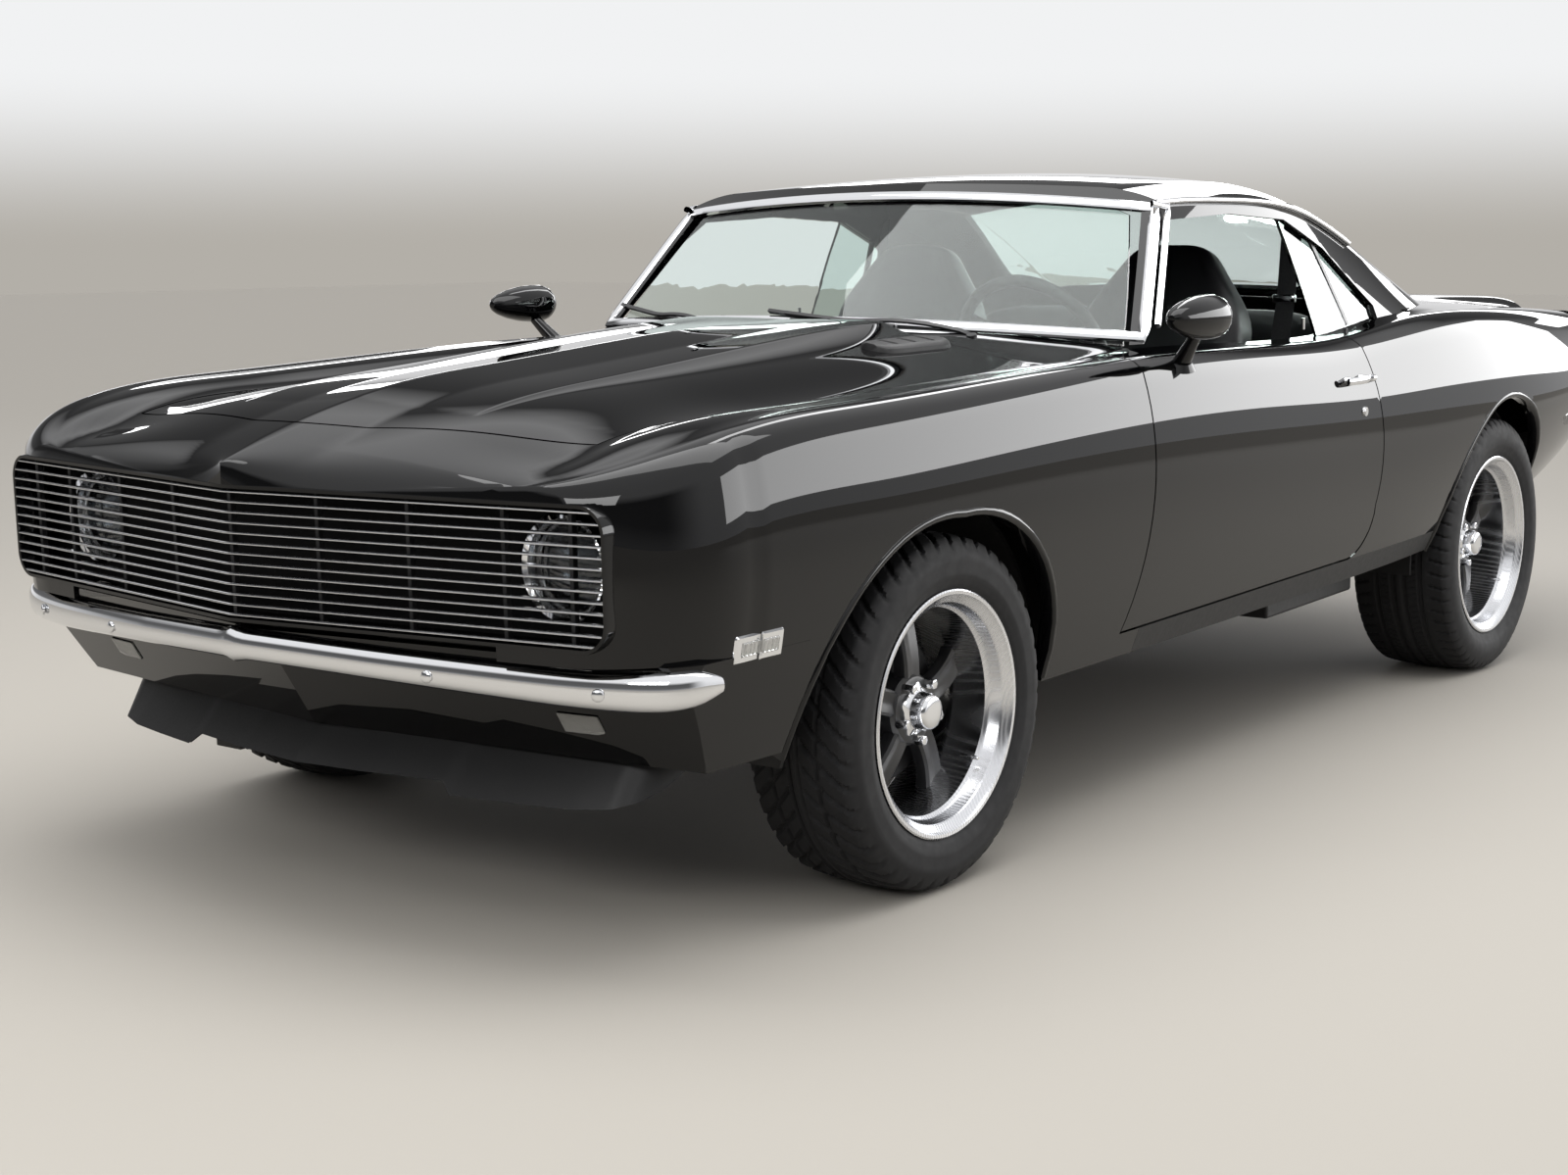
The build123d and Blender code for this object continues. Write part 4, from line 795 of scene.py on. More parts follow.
def windshield_s(x, z):
    """Station of the windshield over a point (x, z) seen from ahead."""
    radius = (GLASS_X**2 + GLASS_BOW**2) / (2 * GLASS_BOW)
    return GLASS_S + radius - sqrt(radius**2 - x**2) + (z - GLASS_Z) * GLASS_LEAN


def side_window_outline():
    """Door window and quarter glass as one opening, (s, z)."""
    return [
        (640, 900), (930, 952), (1130, 1160), (1200, 1208), (1500, 1216), (1800, 1196), (2000, 1120), (2215, 968),
        (2205, 930), (2150, 900),
    ]


def build_roof():
    """The cabin's skin with its openings for windshield, side windows and rear window."""
    rows = [*np.linspace(0, 1, 16), *np.linspace(1, 2, 9)[1:], *np.linspace(2, 3, 14)[1:]]
    shell = skin(list(np.linspace(640, 2890, 130)), rows, cabin_point, 0.026)

    def glass_plane(u, v):
        x, z = -880 + 1760 * u, 800 + 640 * v
        return place(x, windshield_s(x, z), z)

    rear_window = [(-480, 2150), (480, 2150), (600, 2640), (560, 2690), (-560, 2690), (-600, 2640)]
    roof = carve(
        shell,
        ("DIFFERENCE", pushed(patch(24, 12, glass_plane), (0, -1.5, 0))),
        ("DIFFERENCE", side_prism(side_window_outline(), -OUT_X, OUT_X)),
        ("DIFFERENCE", plan_prism(rear_window, 900, 1400)),
        ("DIFFERENCE", block(-OUT_X, OUT_X, 0, 1780, 200, 934)),
        ("DIFFERENCE", block(-OUT_X, OUT_X, 1700, 4000, 200, 905)),
    )
    rounded(finished("roof_skin", roof, "black_enamel", "body", replaced=("roof",)))


# Wheels and tyres


def groove(value, width, wall):
    """1 in a groove of that half width round value 0, 0 outside, with sloped walls."""
    return 1 - smooth((abs(value) - width) / wall)


def tread_depth_at(wheel, a, angle):
    """Depth of the tread's pattern, 0 to 1, at a share a of the tread's half width."""
    if wheel.end == "front":
        # V grooves that sweep back from the middle, with a centre rib and two straight grooves
        phase = ((angle + 0.32 * a**0.8) / (2 * pi / 44)) % 1 - 0.5
        swept = groove(phase, 0.09, 0.07) * smooth((a - 0.14) / 0.06)
        return max(swept, groove(a - 0.52, 0.03, 0.02), groove(a - 0.1, 0.018, 0.02))
    # Straight grooves, shoulder blocks and shallow sipes
    pitch = 2 * pi / 60
    straight = max(groove(a - 0.13, 0.045, 0.02), groove(a - 0.5, 0.045, 0.02))
    phase = ((angle + 0.1 * a) / pitch) % 1 - 0.5
    shoulder = groove(phase, 0.05, 0.07) * smooth((a - 0.66) / 0.05) * 0.9
    phase = ((angle - 0.12 * a) / pitch * 2) % 1 - 0.5
    sipe = 0.5 * groove(phase, 0.06, 0.1) * smooth((a - 0.2) / 0.04) * smooth((0.44 - a) / 0.04)
    return max(straight, shoulder, sipe)


def build_tyre(wheel, side, sign, centre, depth):
    """A tyre as one turned wall with its pattern pressed into the tread, depth in millimetres."""
    half, seat, lip = wheel.tyre_w / 2, wheel.rim_w / 2 - 8, wheel.rim_r + 15
    tread_half = half - 22
    profile = [(seat, wheel.rim_r + 2), (seat + 8, lip + 1)]
    for i in range(1, 13):
        t = i / 12
        a, b = (seat + 8, lip + 1), (half - 8, wheel.tyre_r - 26)
        bulge = 14 * 4 * t * (1 - t)
        x, r = a[0] + (b[0] - a[0]) * t + bulge * 0.9, a[1] + (b[1] - a[1]) * t
        r_rel = (r - wheel.rim_r) / (wheel.tyre_r - wheel.rim_r)
        x += 1.6 * groove(r_rel - 0.86, 0.02, 0.02) - 1.2 * groove(r_rel - 0.3, 0.02, 0.02)
        profile.append((min(x, half), r))
    profile += [(half - 12, wheel.tyre_r - 16), (half - 18, wheel.tyre_r - 10)]
    for i in range(57):
        x = tread_half - 2 * tread_half * i / 56
        profile.append((x, wheel.tyre_r - 7 * abs(x / tread_half) ** 2.5))
    profile += [(-x, r) for x, r in profile[:16][::-1]]

    def wave(x, r, angle):
        return r if r < wheel.tyre_r - 18 else r - depth * tread_depth_at(wheel, abs(x) / tread_half, angle)

    tyre = turned(profile + [profile[0]], 512, centre, sign, wave)
    finished(f"tyre_tread_{wheel.end}_{side}", tyre, "tyre_rubber", f"wheel_{wheel.end}_{side}", 32,
             (f"tyre_{wheel.end}_{side}",))


def build_rim(wheel, side, sign, centre):
    """The rim with its deep polished lip."""
    face, w, rim_r, lip = wheel.face_x - wheel.x, wheel.rim_w / 2, wheel.rim_r, wheel.rim_r + 15
    rim = [
        (w - 8, rim_r + 1), (w, lip), (w + 4, lip + 1), (w + 6, lip - 2), (w + 5, lip - 8), (w - 2, lip - 13),
        (w - 8, rim_r - 8), (w - 12, rim_r - 11), (w - 34, rim_r - 13), (w - 38, rim_r - 17), (w - 42, rim_r - 21),
        (w - 66, rim_r - 22), (face - 40, rim_r - 24), (face - 48, rim_r - 26), (-w + 16, rim_r - 9), (-w, lip - 8),
        (-w - 2, lip), (-w + 8, rim_r + 1),
    ]
    finished(f"wheel_lip_{wheel.end}_{side}", turned(rim + [rim[0]], 128, centre, sign), "polished_aluminium",
             f"wheel_{wheel.end}_{side}", 40)


# Outline of a spoke's section: sideways in half widths, and back from its face in its own depth
SPOKE = [
    (-1, 0.45), (-0.93, 0.15), (-0.72, 0), (-0.4, 0.05), (-0.2, 0.1), (0, 0.12), (0.2, 0.1), (0.4, 0.05), (0.72, 0),
    (0.93, 0.15), (1, 0.45), (0.95, 1), (0, 1), (-0.95, 1),
]


def build_spokes(wheel, side, sign, centre):
    """Five spokes on their hub, and the brake drum behind them."""
    face = wheel.face_x - wheel.x

    def spoke(u, v):
        """A tapering arm: face, flanks and back round a loop v, from hub to rim along u."""
        r = 42 + (wheel.rim_r - 60) * u
        width = 25 + 4 * u + 5 * u**4
        front = face - 2 - 8 * u - 34 * max(u - 0.25, 0) ** 1.7
        back = front - 30 + 4 * sin(pi * u)
        a, b = SPOKE[round(v * len(SPOKE)) % len(SPOKE)]
        return Vector(((front + (back - front) * b) * sign, a * width, r)) / 1000

    parts = []
    for index in range(5):
        arm = tube(18, len(SPOKE), spoke)
        turn = Matrix.Rotation(2 * pi * index / 5, 3, "X")
        bmesh.ops.rotate(arm, cent=(0, 0, 0), matrix=turn, verts=arm.verts)
        bmesh.ops.translate(arm, verts=arm.verts, vec=level(*centre))
        parts.append(arm)
    hub = [(face - 50, 0), (face - 50, 66), (face - 10, 68), (face - 1, 62), (face + 1, 54), (face + 1, 0)]
    parts.append(turned(hub, 64, centre, sign))
    name = f"{wheel.end}_{side}"
    finished(f"wheel_spokes_{name}", merged(*parts), "satin_black_lacquer", f"wheel_{name}", 30,
             (f"wheel_{name}",))
    drum = [(-88, 20), (-88, 138), (-60, 142), (-56, 136), (-52, 60), (-52, 20), (-88, 20)]
    disc = turned([(face + x, r) for x, r in drum], 64, centre, sign)
    finished(f"brake_drum_{name}", disc, "cast_iron", f"wheel_{name}", 30)


def build_cap(wheel, side, sign, centre):
    """The hub's cap with its five-lobed flange, the lug nuts and the valve."""
    (cx, s, z), face, w, rim_r = centre, wheel.face_x - wheel.x, wheel.rim_w / 2, wheel.rim_r
    cap = [(0, 0), (0, 44), (6, 44), (9, 40), (12, 36), (34, 34), (40, 31), (43, 26), (44, 14), (44, 0)]

    def lobes(x, r, angle):
        return r + (9 * max(cos(5 * angle), 0) ** 2 if abs(abs(x) - face) < 8 and r > 42 else 0)

    bright = [turned([(face + x, r) for x, r in cap], 80, centre, sign, lobes)]
    for index in range(5):
        turn = 2 * pi * (index + 0.5) / 5
        nut = bmesh.new()
        bmesh.ops.create_cone(nut, cap_ends=True, segments=6, radius1=0.0105, radius2=0.0095, depth=0.026)
        bevelled(nut, 0.0012)
        bmesh.ops.rotate(nut, cent=(0, 0, 0), matrix=Matrix.Rotation(radians(90) * sign, 3, "Y"), verts=nut.verts)
        spot = level(cx + (face + 10) * sign, s + 56 * sin(turn), z + 56 * cos(turn))
        bmesh.ops.translate(nut, verts=nut.verts, vec=spot)
        bright.append(nut)
    stem = [(w - 60, 0), (w - 60, 4), (w - 22, 4), (w - 20, 3), (w - 20, 0)]
    foot = (cx, s + (rim_r - 38) * sin(0.9), z - (rim_r - 38) * cos(0.9))
    bright.append(turned(stem, 12, foot, sign))
    finished(f"wheel_cap_{wheel.end}_{side}", merged(*bright), "chrome_plate", f"wheel_{wheel.end}_{side}",
             35)


def build_wheels(look):
    """Four wheels from two sets of sizes."""
    for wheel in WHEELS:
        for side, sign in SIDES:
            centre = (wheel.x * sign, wheel.s, wheel.z)
            build_tyre(wheel, side, sign, centre, look.tread_depth * 1000)
            build_rim(wheel, side, sign, centre)
            build_spokes(wheel, side, sign, centre)
            build_cap(wheel, side, sign, centre)


# Nose


def build_grille(look):
    """Level bars on upright ribs, the headlamps at both ends, and the opening's edge."""
    bars = []
    pitch = (GRILLE_Z[1] - GRILLE_Z[0]) / look.grille_bars
    loop = [(-6, -1.8), (-6, 1.8), (5, 2.1), (6.4, 1.1), (6.8, 0), (6.4, -1.1), (5, -2.1)]
    for index in range(look.grille_bars):
        z = GRILLE_Z[0] + pitch * (index + 0.5)
        into = max(GRILLE_R - min(z - GRILLE_Z[0], GRILLE_Z[1] - z), 0)
        end = GRILLE_X - 2 - (GRILLE_R - sqrt(GRILLE_R**2 - into**2))

        def point(u, v, z=z, end=end):
            x = (2 * u - 1) * end
            a, b = loop[round(v * len(loop)) % len(loop)]
            return place(x, NOSE_S + NOSE_SWEEP * abs(x) + 7 - a, z + b)

        bars.append(tube(2, len(loop), point))
    finished("grille_bars", merged(*bars), "billet_bar", "body", 30, ("grille",))
    ribs = []
    for x in (0, 190, 380, 570, 700):
        for sign in ((1,) if x == 0 else (1, -1)):
            s = NOSE_S + NOSE_SWEEP * x
            ribs.append(block(*span(x - 4, x + 4, sign), s + 15, s + 26, *GRILLE_Z))
    finished("grille_supports", merged(*ribs), "moulded_black_plastic", "body")
    # Headlamps: (depth rearward, radius) of rim, lens and reflector
    rim = [(-16, 92), (-18, 89), (-12, 82), (0, 78), (30, 80), (30, 92), (-16, 92)]
    lens = [(-12, 0), (-11.4, 20), (-9, 45), (-4, 66), (2, 79), (6, 79), (0, 62), (-4, 40), (-6, 20), (-6.4, 0)]
    bowl = [(8, 78), (34, 62), (52, 40), (60, 16), (60, 0), (66, 0), (66, 18), (58, 44), (38, 70), (10, 80), (8, 78)]
    for name, profile, surface, slot, replaced in (
        ("headlamp_rings", rim, "chrome_plate", "chrome", ("headlamps",)),
        ("headlamp_lenses", lens, "lamp_lens", "lamp", ()),
        # The bowls' colour is darkened as painted shade inside the lamps
        ("headlamp_bowls", bowl, "reflector_painted_shade", "polished", ()),
    ):
        pair = [lathe(profile, 64, (0, 1, 0), place(LAMP[0] * sign, *LAMP[1:])) for sign in (1, -1)]
        finished(name, merged(*pair), surface, "body", 30, replaced)
    # The opening's edge, a slim painted return
    outline = mouth_outline(GRILLE_X + 1, 9)
    path = []
    for (xa, za), (xb, zb) in zip(outline, outline[1:] + outline[:1]):
        n = max(int(abs(xb - xa) / 40), 1)
        path += [(xa + (xb - xa) * i / n, za + (zb - za) * i / n) for i in range(n)]
    path = [(x, NOSE_S + NOSE_SWEEP * abs(x) + 6, z) for x, z in path]
    ring = strip(path, (0, 1, 0), [(-3, -6), (3, -6), (4, 0), (3, 60), (-3, 60), (-4, 0)], closed=True)
    finished("grille_surround", ring, "black_enamel", "body", 40)


# Bumpers. Columns: x, s, z, height, depth, heading of the face in plan
FRONT_BUMPER = [
    (0, -941, 529, 54, 36, 8.5), (300, -895, 518, 56, 36, 9), (560, -842, 508, 62, 36, 14),
    (750, -793, 503, 68, 38, 32), (868, -732, 508, 64, 34, 60), (893, -674, 512, 50, 18, 78),
]
REAR_BUMPER = [
    (0, 3772, 560, 56, 34, 0), (360, 3766, 560, 56, 34, 4), (640, 3742, 560, 56, 34, 14),
    (790, 3680, 560, 56, 32, 38), (858, 3560, 560, 54, 28, 70), (880, 3420, 560, 46, 18, 84),
]
# Upper half of the blade's section: back from its face in depths, up in half heights
BLADE = [(1, 1), (0.7, 1.0), (0.4, 0.93), (0.18, 0.75), (0.07, 0.5), (0.02, 0.25)]


def bumper(table, facing, peak):
    """A bright blade with a rounded face, lofted along its plan on both sides. facing is -1 for the front;
    peak is the height of the ridge in its middle."""
    lengths = [0.0]
    for (x0, s0, *_), (x1, s1, *_) in zip(table, table[1:]):
        lengths.append(lengths[-1] + sqrt((x1 - x0) ** 2 + (s1 - s0) ** 2))
    curve = spline([(t, *row) for t, row in zip(lengths, table)])
    loop = [(1, -1), *BLADE, (0, 0), *((a, -b) for a, b in BLADE[:0:-1])]

    def point(u, v):
        t = (2 * u - 1) * lengths[-1]
        x, s, z, height, depth, heading = curve(abs(t))
        if abs(t) < lengths[1]:
            s = table[0][1] + (table[1][1] - table[0][1]) * abs(t) / lengths[1]
        turn = radians(heading)
        a, b = loop[round(v * len(loop)) % len(loop)]
        ridge = peak * (1 - min(abs(t) / 26, 1))
        taper = 1 - 0.45 * (max(abs(t) / lengths[-1] - 0.95, 0) / 0.05) ** 2
        x, s = x - sin(turn) * a * depth, s - facing * cos(turn) * a * depth
        return place(x * (1 if t >= 0 else -1), s, z + b * (height / 2 + ridge) * taper)

    return tube(120, len(loop), point)


# Chin spoiler. Columns: x, s of its face at CHIN_Z, z of the lower edge, rearward lean
CHIN_Z = 270.0
CHIN = [
    (0, -830, 293, 1.0), (160, -812, 293, 1.0), (325, -776, 292, 0.95), (350, -768, 272, 0.95), (470, -738, 270, 0.9),
    (584, -706, 268, 0.8), (648, -684, 272, 0.7), (680, -654, 281, 0.6), (700, -618, 300, 0.5), (716, -575, 334, 0.5),
]


def build_chin():
    """A bent blade, shallower in its middle, that leans forward as it goes down."""
    edge = straight_runs(CHIN)

    def point(u, v):
        x = (2 * u - 1) * CHIN[-1][0]
        s, low, lean = edge(abs(x))
        top = 346.0 + 54 * (1 - smooth((abs(x) - 540) / 150))
        z = low + (top - low) * (min(2 * v, 1) if v <= 0.5 else max(2 - 2 * v, 0))
        return place(x, s + lean * (z - CHIN_Z) + (0 if v <= 0.5 else 6), z)

    blade = patch(180, 12, point, wrap=True)
    piece = finished("chin_blade", blade, "moulded_black_plastic", "body", 50, ("chin_spoiler",))
    rounded(piece, 0.002)


def straight_runs(rows):
    """Straight lines through a table's rows, by their first column."""
    data = np.array(rows, float)
    return lambda x: tuple(float(np.interp(x, data[:, 0], data[:, i])) for i in range(1, data.shape[1]))


def build_bumpers():
    """Both bright blades, and the bolts of the front one."""
    for end, table, facing, peak in (("front", FRONT_BUMPER, -1, 6), ("rear", REAR_BUMPER, 1, 0)):
        finished(f"bumper_blade_{end}", bumper(table, facing, peak), "chrome_plate", "body", 50,
                 (f"bumper_{end}",))
    bolts = []
    for x, s, z, turn in ((734, -800, 500, 30), (420, -873, 508, 9)):
        for sign in (1, -1):
            bolt = bmesh.new()
            bmesh.ops.create_uvsphere(bolt, u_segments=20, v_segments=10, radius=0.011)
            bmesh.ops.scale(bolt, vec=(1, 0.45, 1), verts=bolt.verts)
            heading = Matrix.Rotation(radians(turn * sign), 3, "Z")
            bmesh.ops.rotate(bolt, cent=(0, 0, 0), matrix=heading, verts=bolt.verts)
            bmesh.ops.translate(bolt, verts=bolt.verts, vec=place(x * sign, s, z))
            bolts.append(bolt)
    finished("bumper_bolts", merged(*bolts), "chrome_plate", "body", 40)


# Windows, trim and interior


def pillar_path(low=965.0, high=1235.0, n=14):
    """The windshield's side edge, up the pillar: where its plane meets the cabin's section."""
    path = []
    for i in range(n + 1):
        z = low + (high - low) * i / n
        x = 740.0
        for _ in range(8):
            s = windshield_s(x, z)
            x = cabin_x(s, z)
        path.append((x, s, z))
    return path


def build_trim():
    """Bright mouldings of the windshield and the drip rails, and the rolled lips of the wheel arches."""
    pillar = pillar_path()

    def across(end, middle_z, way):
        """The glass's top or foot from one pillar's end to the other's, higher in its middle."""
        points = []
        for i in range(1, 24):
            x = way * end[0] * (1 - i / 12)
            z = end[2] + (middle_z - end[2]) * (1 - (x / end[0]) ** 2)
            points.append((x, windshield_s(x, z), z))
        return points

    frame_path = pillar + across(pillar[-1], 1270, 1)
    frame_path += [(-x, s, z) for x, s, z in pillar[::-1]] + across(pillar[0], 990, -1)
    normal = (0, -0.73, 0.68)
    surround = strip(frame_path, normal, [(-13, -4), (13, -4), (12, 3), (6, 6), (-6, 6), (-12, 3)], closed=True)
    finished("windshield_surround", surround, "chrome_plate", "body", 50)
    rails = []
    for sign in (1, -1):
        path = [((x + 14) * sign, s + 34, z + 2) for x, s, z in pillar[1:]]
        for s in np.linspace(1140, 2230, 40):
            x, z = cabin_point(s, 0.985)
            path.append(((x + 7) * sign, s, z))
        rails.append(strip(path, (sign, 0, 0.15), [(-8, -5), (8, -5), (7, 4), (3, 7), (-3, 7), (-7, 4)]))
    finished("drip_rails", merged(*rails), "chrome_plate", "body", 50)
    arches = []
    lip = [(-7, -30), (7, -30), (9, -2), (5, 3), (0, 4), (-5, 3), (-9, -2)]
    for sign in (1, -1):
        for outline in (front_arch_outline(), rear_arch_outline()):
            path = []
            for s, z in outline[1:-1]:
                around = (body_point(s, q) for q in np.linspace(0, 2, 81))
                x = next(x for x, height in around if height >= z)
                path.append(((x - 1) * sign, s, z))
            arches.append(strip(path, (sign, 0, 0), lip))
    finished("arch_lips", merged(*arches), "black_enamel", "body", 50)


def bar(a, b, ra, rb, steps=24, flat=1.0):
    """A tapering round bar between two level points."""
    start, end = Vector(a), Vector(b)
    along = (end - start).normalized()
    side = along.orthogonal().normalized()
    lift = along.cross(side)

    def point(u, v):
        r = ra + (rb - ra) * u
        turn = 2 * pi * v
        return place(*(start + (end - start) * u + side * r * cos(turn) + lift * r * sin(turn) * flat))

    return tube(6, steps, point)


def pillow(centre, half, tilt=0.0, crown=0.0, power=5.0, channels=(), pinch=0.0, narrow=None, cuts=14):
    """A stuffed form: a rounded block with a crowned face, sewn channels across it and pulled-in sides,
    tilted about X. Channels are (place, half width, depth, axis); narrow gives the width along its height."""
    bm = bmesh.new()
    bmesh.ops.create_cube(bm, size=2)
    bmesh.ops.subdivide_edges(bm, edges=bm.edges[:], cuts=cuts, use_grid_fill=True)
    turn = Matrix.Rotation(radians(tilt), 3, "X")
    for v in bm.verts:
        a, b, c = v.co
        k = (abs(a) ** power + abs(b) ** power + abs(c) ** power) ** (-1 / power)
        a, b, c = a * k, b * k, c * k
        lift = crown * (1 - a * a) * (1 - b * b) * (1 if c > 0 else 0.2)
        for at, wide, deep, axis in channels:
            off = (a if axis == "x" else b) - at
            lift -= deep * exp(-(off / wide) ** 2) * (1 if c > 0.2 else 0)
        x = a * half[0] * (1 - pinch * b * b * 0.5) * (narrow(b) if narrow else 1)
        y = b * half[1] * (1 - pinch * a * a * 0.5)
        z = c * half[2] + lift * (1 if c > 0 else -1)
        v.co = place(*(Vector(centre) + turn @ Vector((x, y, z))))
    bmesh.ops.recalc_face_normals(bm, faces=bm.faces)
    return bm


def cushion(name, bm, replaced=()):
    """Finishes a stuffed form in vinyl on the body, softened by one level of subdivision."""
    obj = finished(name, bm, "black_vinyl", "body", 60, replaced)
    step = obj.modifiers.new("Soft", "SUBSURF")
    step.levels = step.render_levels = 1


def build_interior():
    """Bucket seats, shoulder belts with their latches, and the rear bench."""
    welts = [(x, 0.05, 9, "x") for x in (-0.62, 0.62)] + [(y, 0.03, 5, "y") for y in (-0.45, -0.1, 0.25)]
    ribs = [(x / 4, 0.02, 7, "x") for x in range(-3, 4)]

    def neck(b):
        return 1 - 0.42 * smooth((b - 0.35) / 0.6) + 0.03 * b

    for side, sign in SIDES:
        x = 386 * sign
        base = pillow((x, 1385, 438), (222, 262, 78), 3, 16, channels=welts, pinch=0.06)
        cushion(f"seat_cushion_{side}", base, (f"seat_{side}",))
        back = pillow((x, 1708, 812), (224, 330, 62), 74, 18, channels=welts, narrow=neck)
        cushion(f"seat_backrest_{side}", back)
        # Shoulder belt, 46 mm wide, hanging from the roof rail, with its latch
        path = [(620, 1960, 1200), (622, 1930, 1000), (624, 1890, 880), (626, 1850, 700), (628, 1800, 480)]
        belt = strip([(x * sign, s, z) for x, s, z in path], (0.3 * sign, -0.9, 0.2),
                     [(-23, -0.9), (23, -0.9), (23, 0.9), (-23, 0.9)])
        finished(f"shoulder_belt_{side}", belt, "seat_belt_web", "body", 40)
        latch = bevelled(block(*span(590, 652, sign), 1918, 1926, 988, 1008), 0.002)
        rounded(finished(f"belt_latch_{side}", latch, "chrome_plate", "body"))
    base = pillow((0, 2035, 462), (548, 190, 92), 3, 12, channels=ribs, power=7, cuts=20)
    cushion("bench_cushion", base, ("rear_seat",))
    back = pillow((0, 2322, 740), (552, 205, 58), 72, 12, channels=ribs, power=7, cuts=20)
    cushion("bench_backrest", back)


# Mirror head: distance behind its middle and radius, from the bullet's tip round to its glass
MIRROR = [
    (-128.8, 0), (-127.4, 8), (-120.4, 16), (-103.6, 25), (-72.8, 35), (-33.6, 43), (7.2, 46.5), (40.8, 46.5),
    (57.6, 43), (67.2, 37), (72, 34), (72, 31), (66, 30), (66, 0),
]
HANDLE_Z, LOCK_Z = 818.0, 739.0


def build_mirror(side, sign):
    """A bullet mirror on a leaning stalk, its glass facing the driver."""
    head = lathe(MIRROR, 48, (0, 1, 0), place(950 * sign, 835, 1016))
    stalk = bar((884 * sign, 872, 915), (944 * sign, 838, 990), 20, 11, flat=0.8)
    foot = bar((882 * sign, 874, 908), (886 * sign, 871, 922), 34, 24)
    finished(f"door_mirror_{side}", merged(head, stalk, foot), "black_enamel", f"door_{side}", 30,
             (f"mirror_{side}",))


def build_handle(side, sign):
    """A bowed blade on two posts with its thumb button, the lock under it, and the knob on the sill."""
    x = side_x(1730, HANDLE_Z)
    path = [((x + 16 + 10 * sin(pi * i / 12)) * sign, 1668 + 128 * i / 12, HANDLE_Z) for i in range(13)]
    parts = [strip(path, (0, 0, 1), ellipse(5, 9, 10))]
    for s in (1690, 1772):
        parts.append(bar(((side_x(s, HANDLE_Z) - 6) * sign, s, HANDLE_Z), ((x + 20) * sign, s, HANDLE_Z), 11, 8, 16))
    parts.append(bar(((x + 18) * sign, 1794, HANDLE_Z), ((x + 20) * sign, 1806, HANDLE_Z), 9, 8, 16))
    lock = side_x(1775, LOCK_Z)
    for near, far, r0, r1 in ((-5, 4, 13, 11), (3, 5, 8, 7.6)):
        parts.append(bar(((lock + near) * sign, 1775, LOCK_Z), ((lock + far) * sign, 1775, LOCK_Z), r0, r1, 24))
    finished(f"door_handle_blade_{side}", merged(*parts), "chrome_plate", f"door_{side}", 40,
             (f"door_handle_{side}",))
    knob = bar((760 * sign, 1735, 935), (760 * sign, 1735, 962), 4, 5, 12)
    finished(f"lock_knob_{side}", knob, "chrome_plate", f"door_{side}", 40)


def marker(sign, s0, s1, z0, z1, out, flute=0.0):
    """A block that stands out of the painted side, with chamfered edges and upright flutes."""

    def point(u, v):
        s, z = s0 + (s1 - s0) * u, z0 + (z1 - z0) * v
        edge = min(min(u, 1 - u) * (s1 - s0), min(v, 1 - v) * (z1 - z0))
        rise = out * min(edge / 4, 1) + flute * abs(sin(u * 9 * pi))
        return place((side_x(s, z) - 2 + rise) * sign, s, z)

    return pushed(patch(54, 12, point), (-0.012 * sign, 0, 0))


def build_vent(side, sign):
    """Louvred vent at the rear of the hood's raised middle."""

    def point(u, v):
        s = 425 + 232 * u
        wide = 46 * sqrt(max(1 - (2 * u - 1) ** 6, 0))
        x = 405 + 26 * u + wide * (2 * v - 1)
        rise = 15 * sqrt(max(1 - (2 * v - 1) ** 4, 0)) * (1 if 0 < u < 1 else 0)
        in_slot = abs(sin(u * 4 * pi)) < 0.35 and 0.1 < u < 0.9 and 0.25 < v < 0.75
        return place(x * sign, s, top_z(x, s) - 1 + rise - (6 if in_slot else 0))

    vent = patch(60, 20, point, wrap=True)
    finished(f"hood_vent_{side}", vent, "moulded_black_plastic", "hood", 25)


def build_wipers():
    """Two arms and their blades, parked along the foot of the glass."""
    arms = []
    for (px, ps), (tx, ts) in (((418, 800), (-118, 850)), ((-300, 780), (-690, 930))):
        path, blade = [], []
        for i in range(13):
            u = i / 12
            x, z = px + (tx - px) * u, 960 + 40 * u
            s = ps + (ts - ps) * u if u < 0.08 else windshield_s(x, z + 6) - 22
            path.append((x, s, z + 14 * sin(pi * min(u * 1.6, 1)) + 8))
            u = 0.42 + 0.7 * i / 12
            x, z = px + (tx - px) * u, 964 + 40 * u
            blade.append((x, windshield_s(x, z) - 7, z))
        arms.append(strip(path, (0, -0.7, 0.7), [(-5, -3), (5, -3), (4, 3), (-4, 3)]))
        arms.append(strip(blade, (0, -0.7, 0.7), [(-2.5, -6), (2.5, -6), (4, 6), (-4, 6)]))
        arms.append(bar((px, ps, 940), (px + 2, ps - 10, 972), 15, 11, 20))
    finished("wipers", merged(*arms), "satin_black_lacquer", "body", 40)


def build_quarter_bars():
    """Black bars between the door windows and the quarter glasses."""
    bars = []
    for sign in (1, -1):
        path = []
        for i in range(9):
            s, z = 1945 + 60 * (1 - i / 8), 930 + 262 * i / 8
            path.append(((cabin_x(s, z) - 14) * sign, s, z))
        bars.append(strip(path, (sign, 0, 0.3), [(-9, -6), (9, -6), (7, 5), (-7, 5)]))
    finished("quarter_glass_bars", merged(*bars), "satin_black_lacquer", "body", 40)


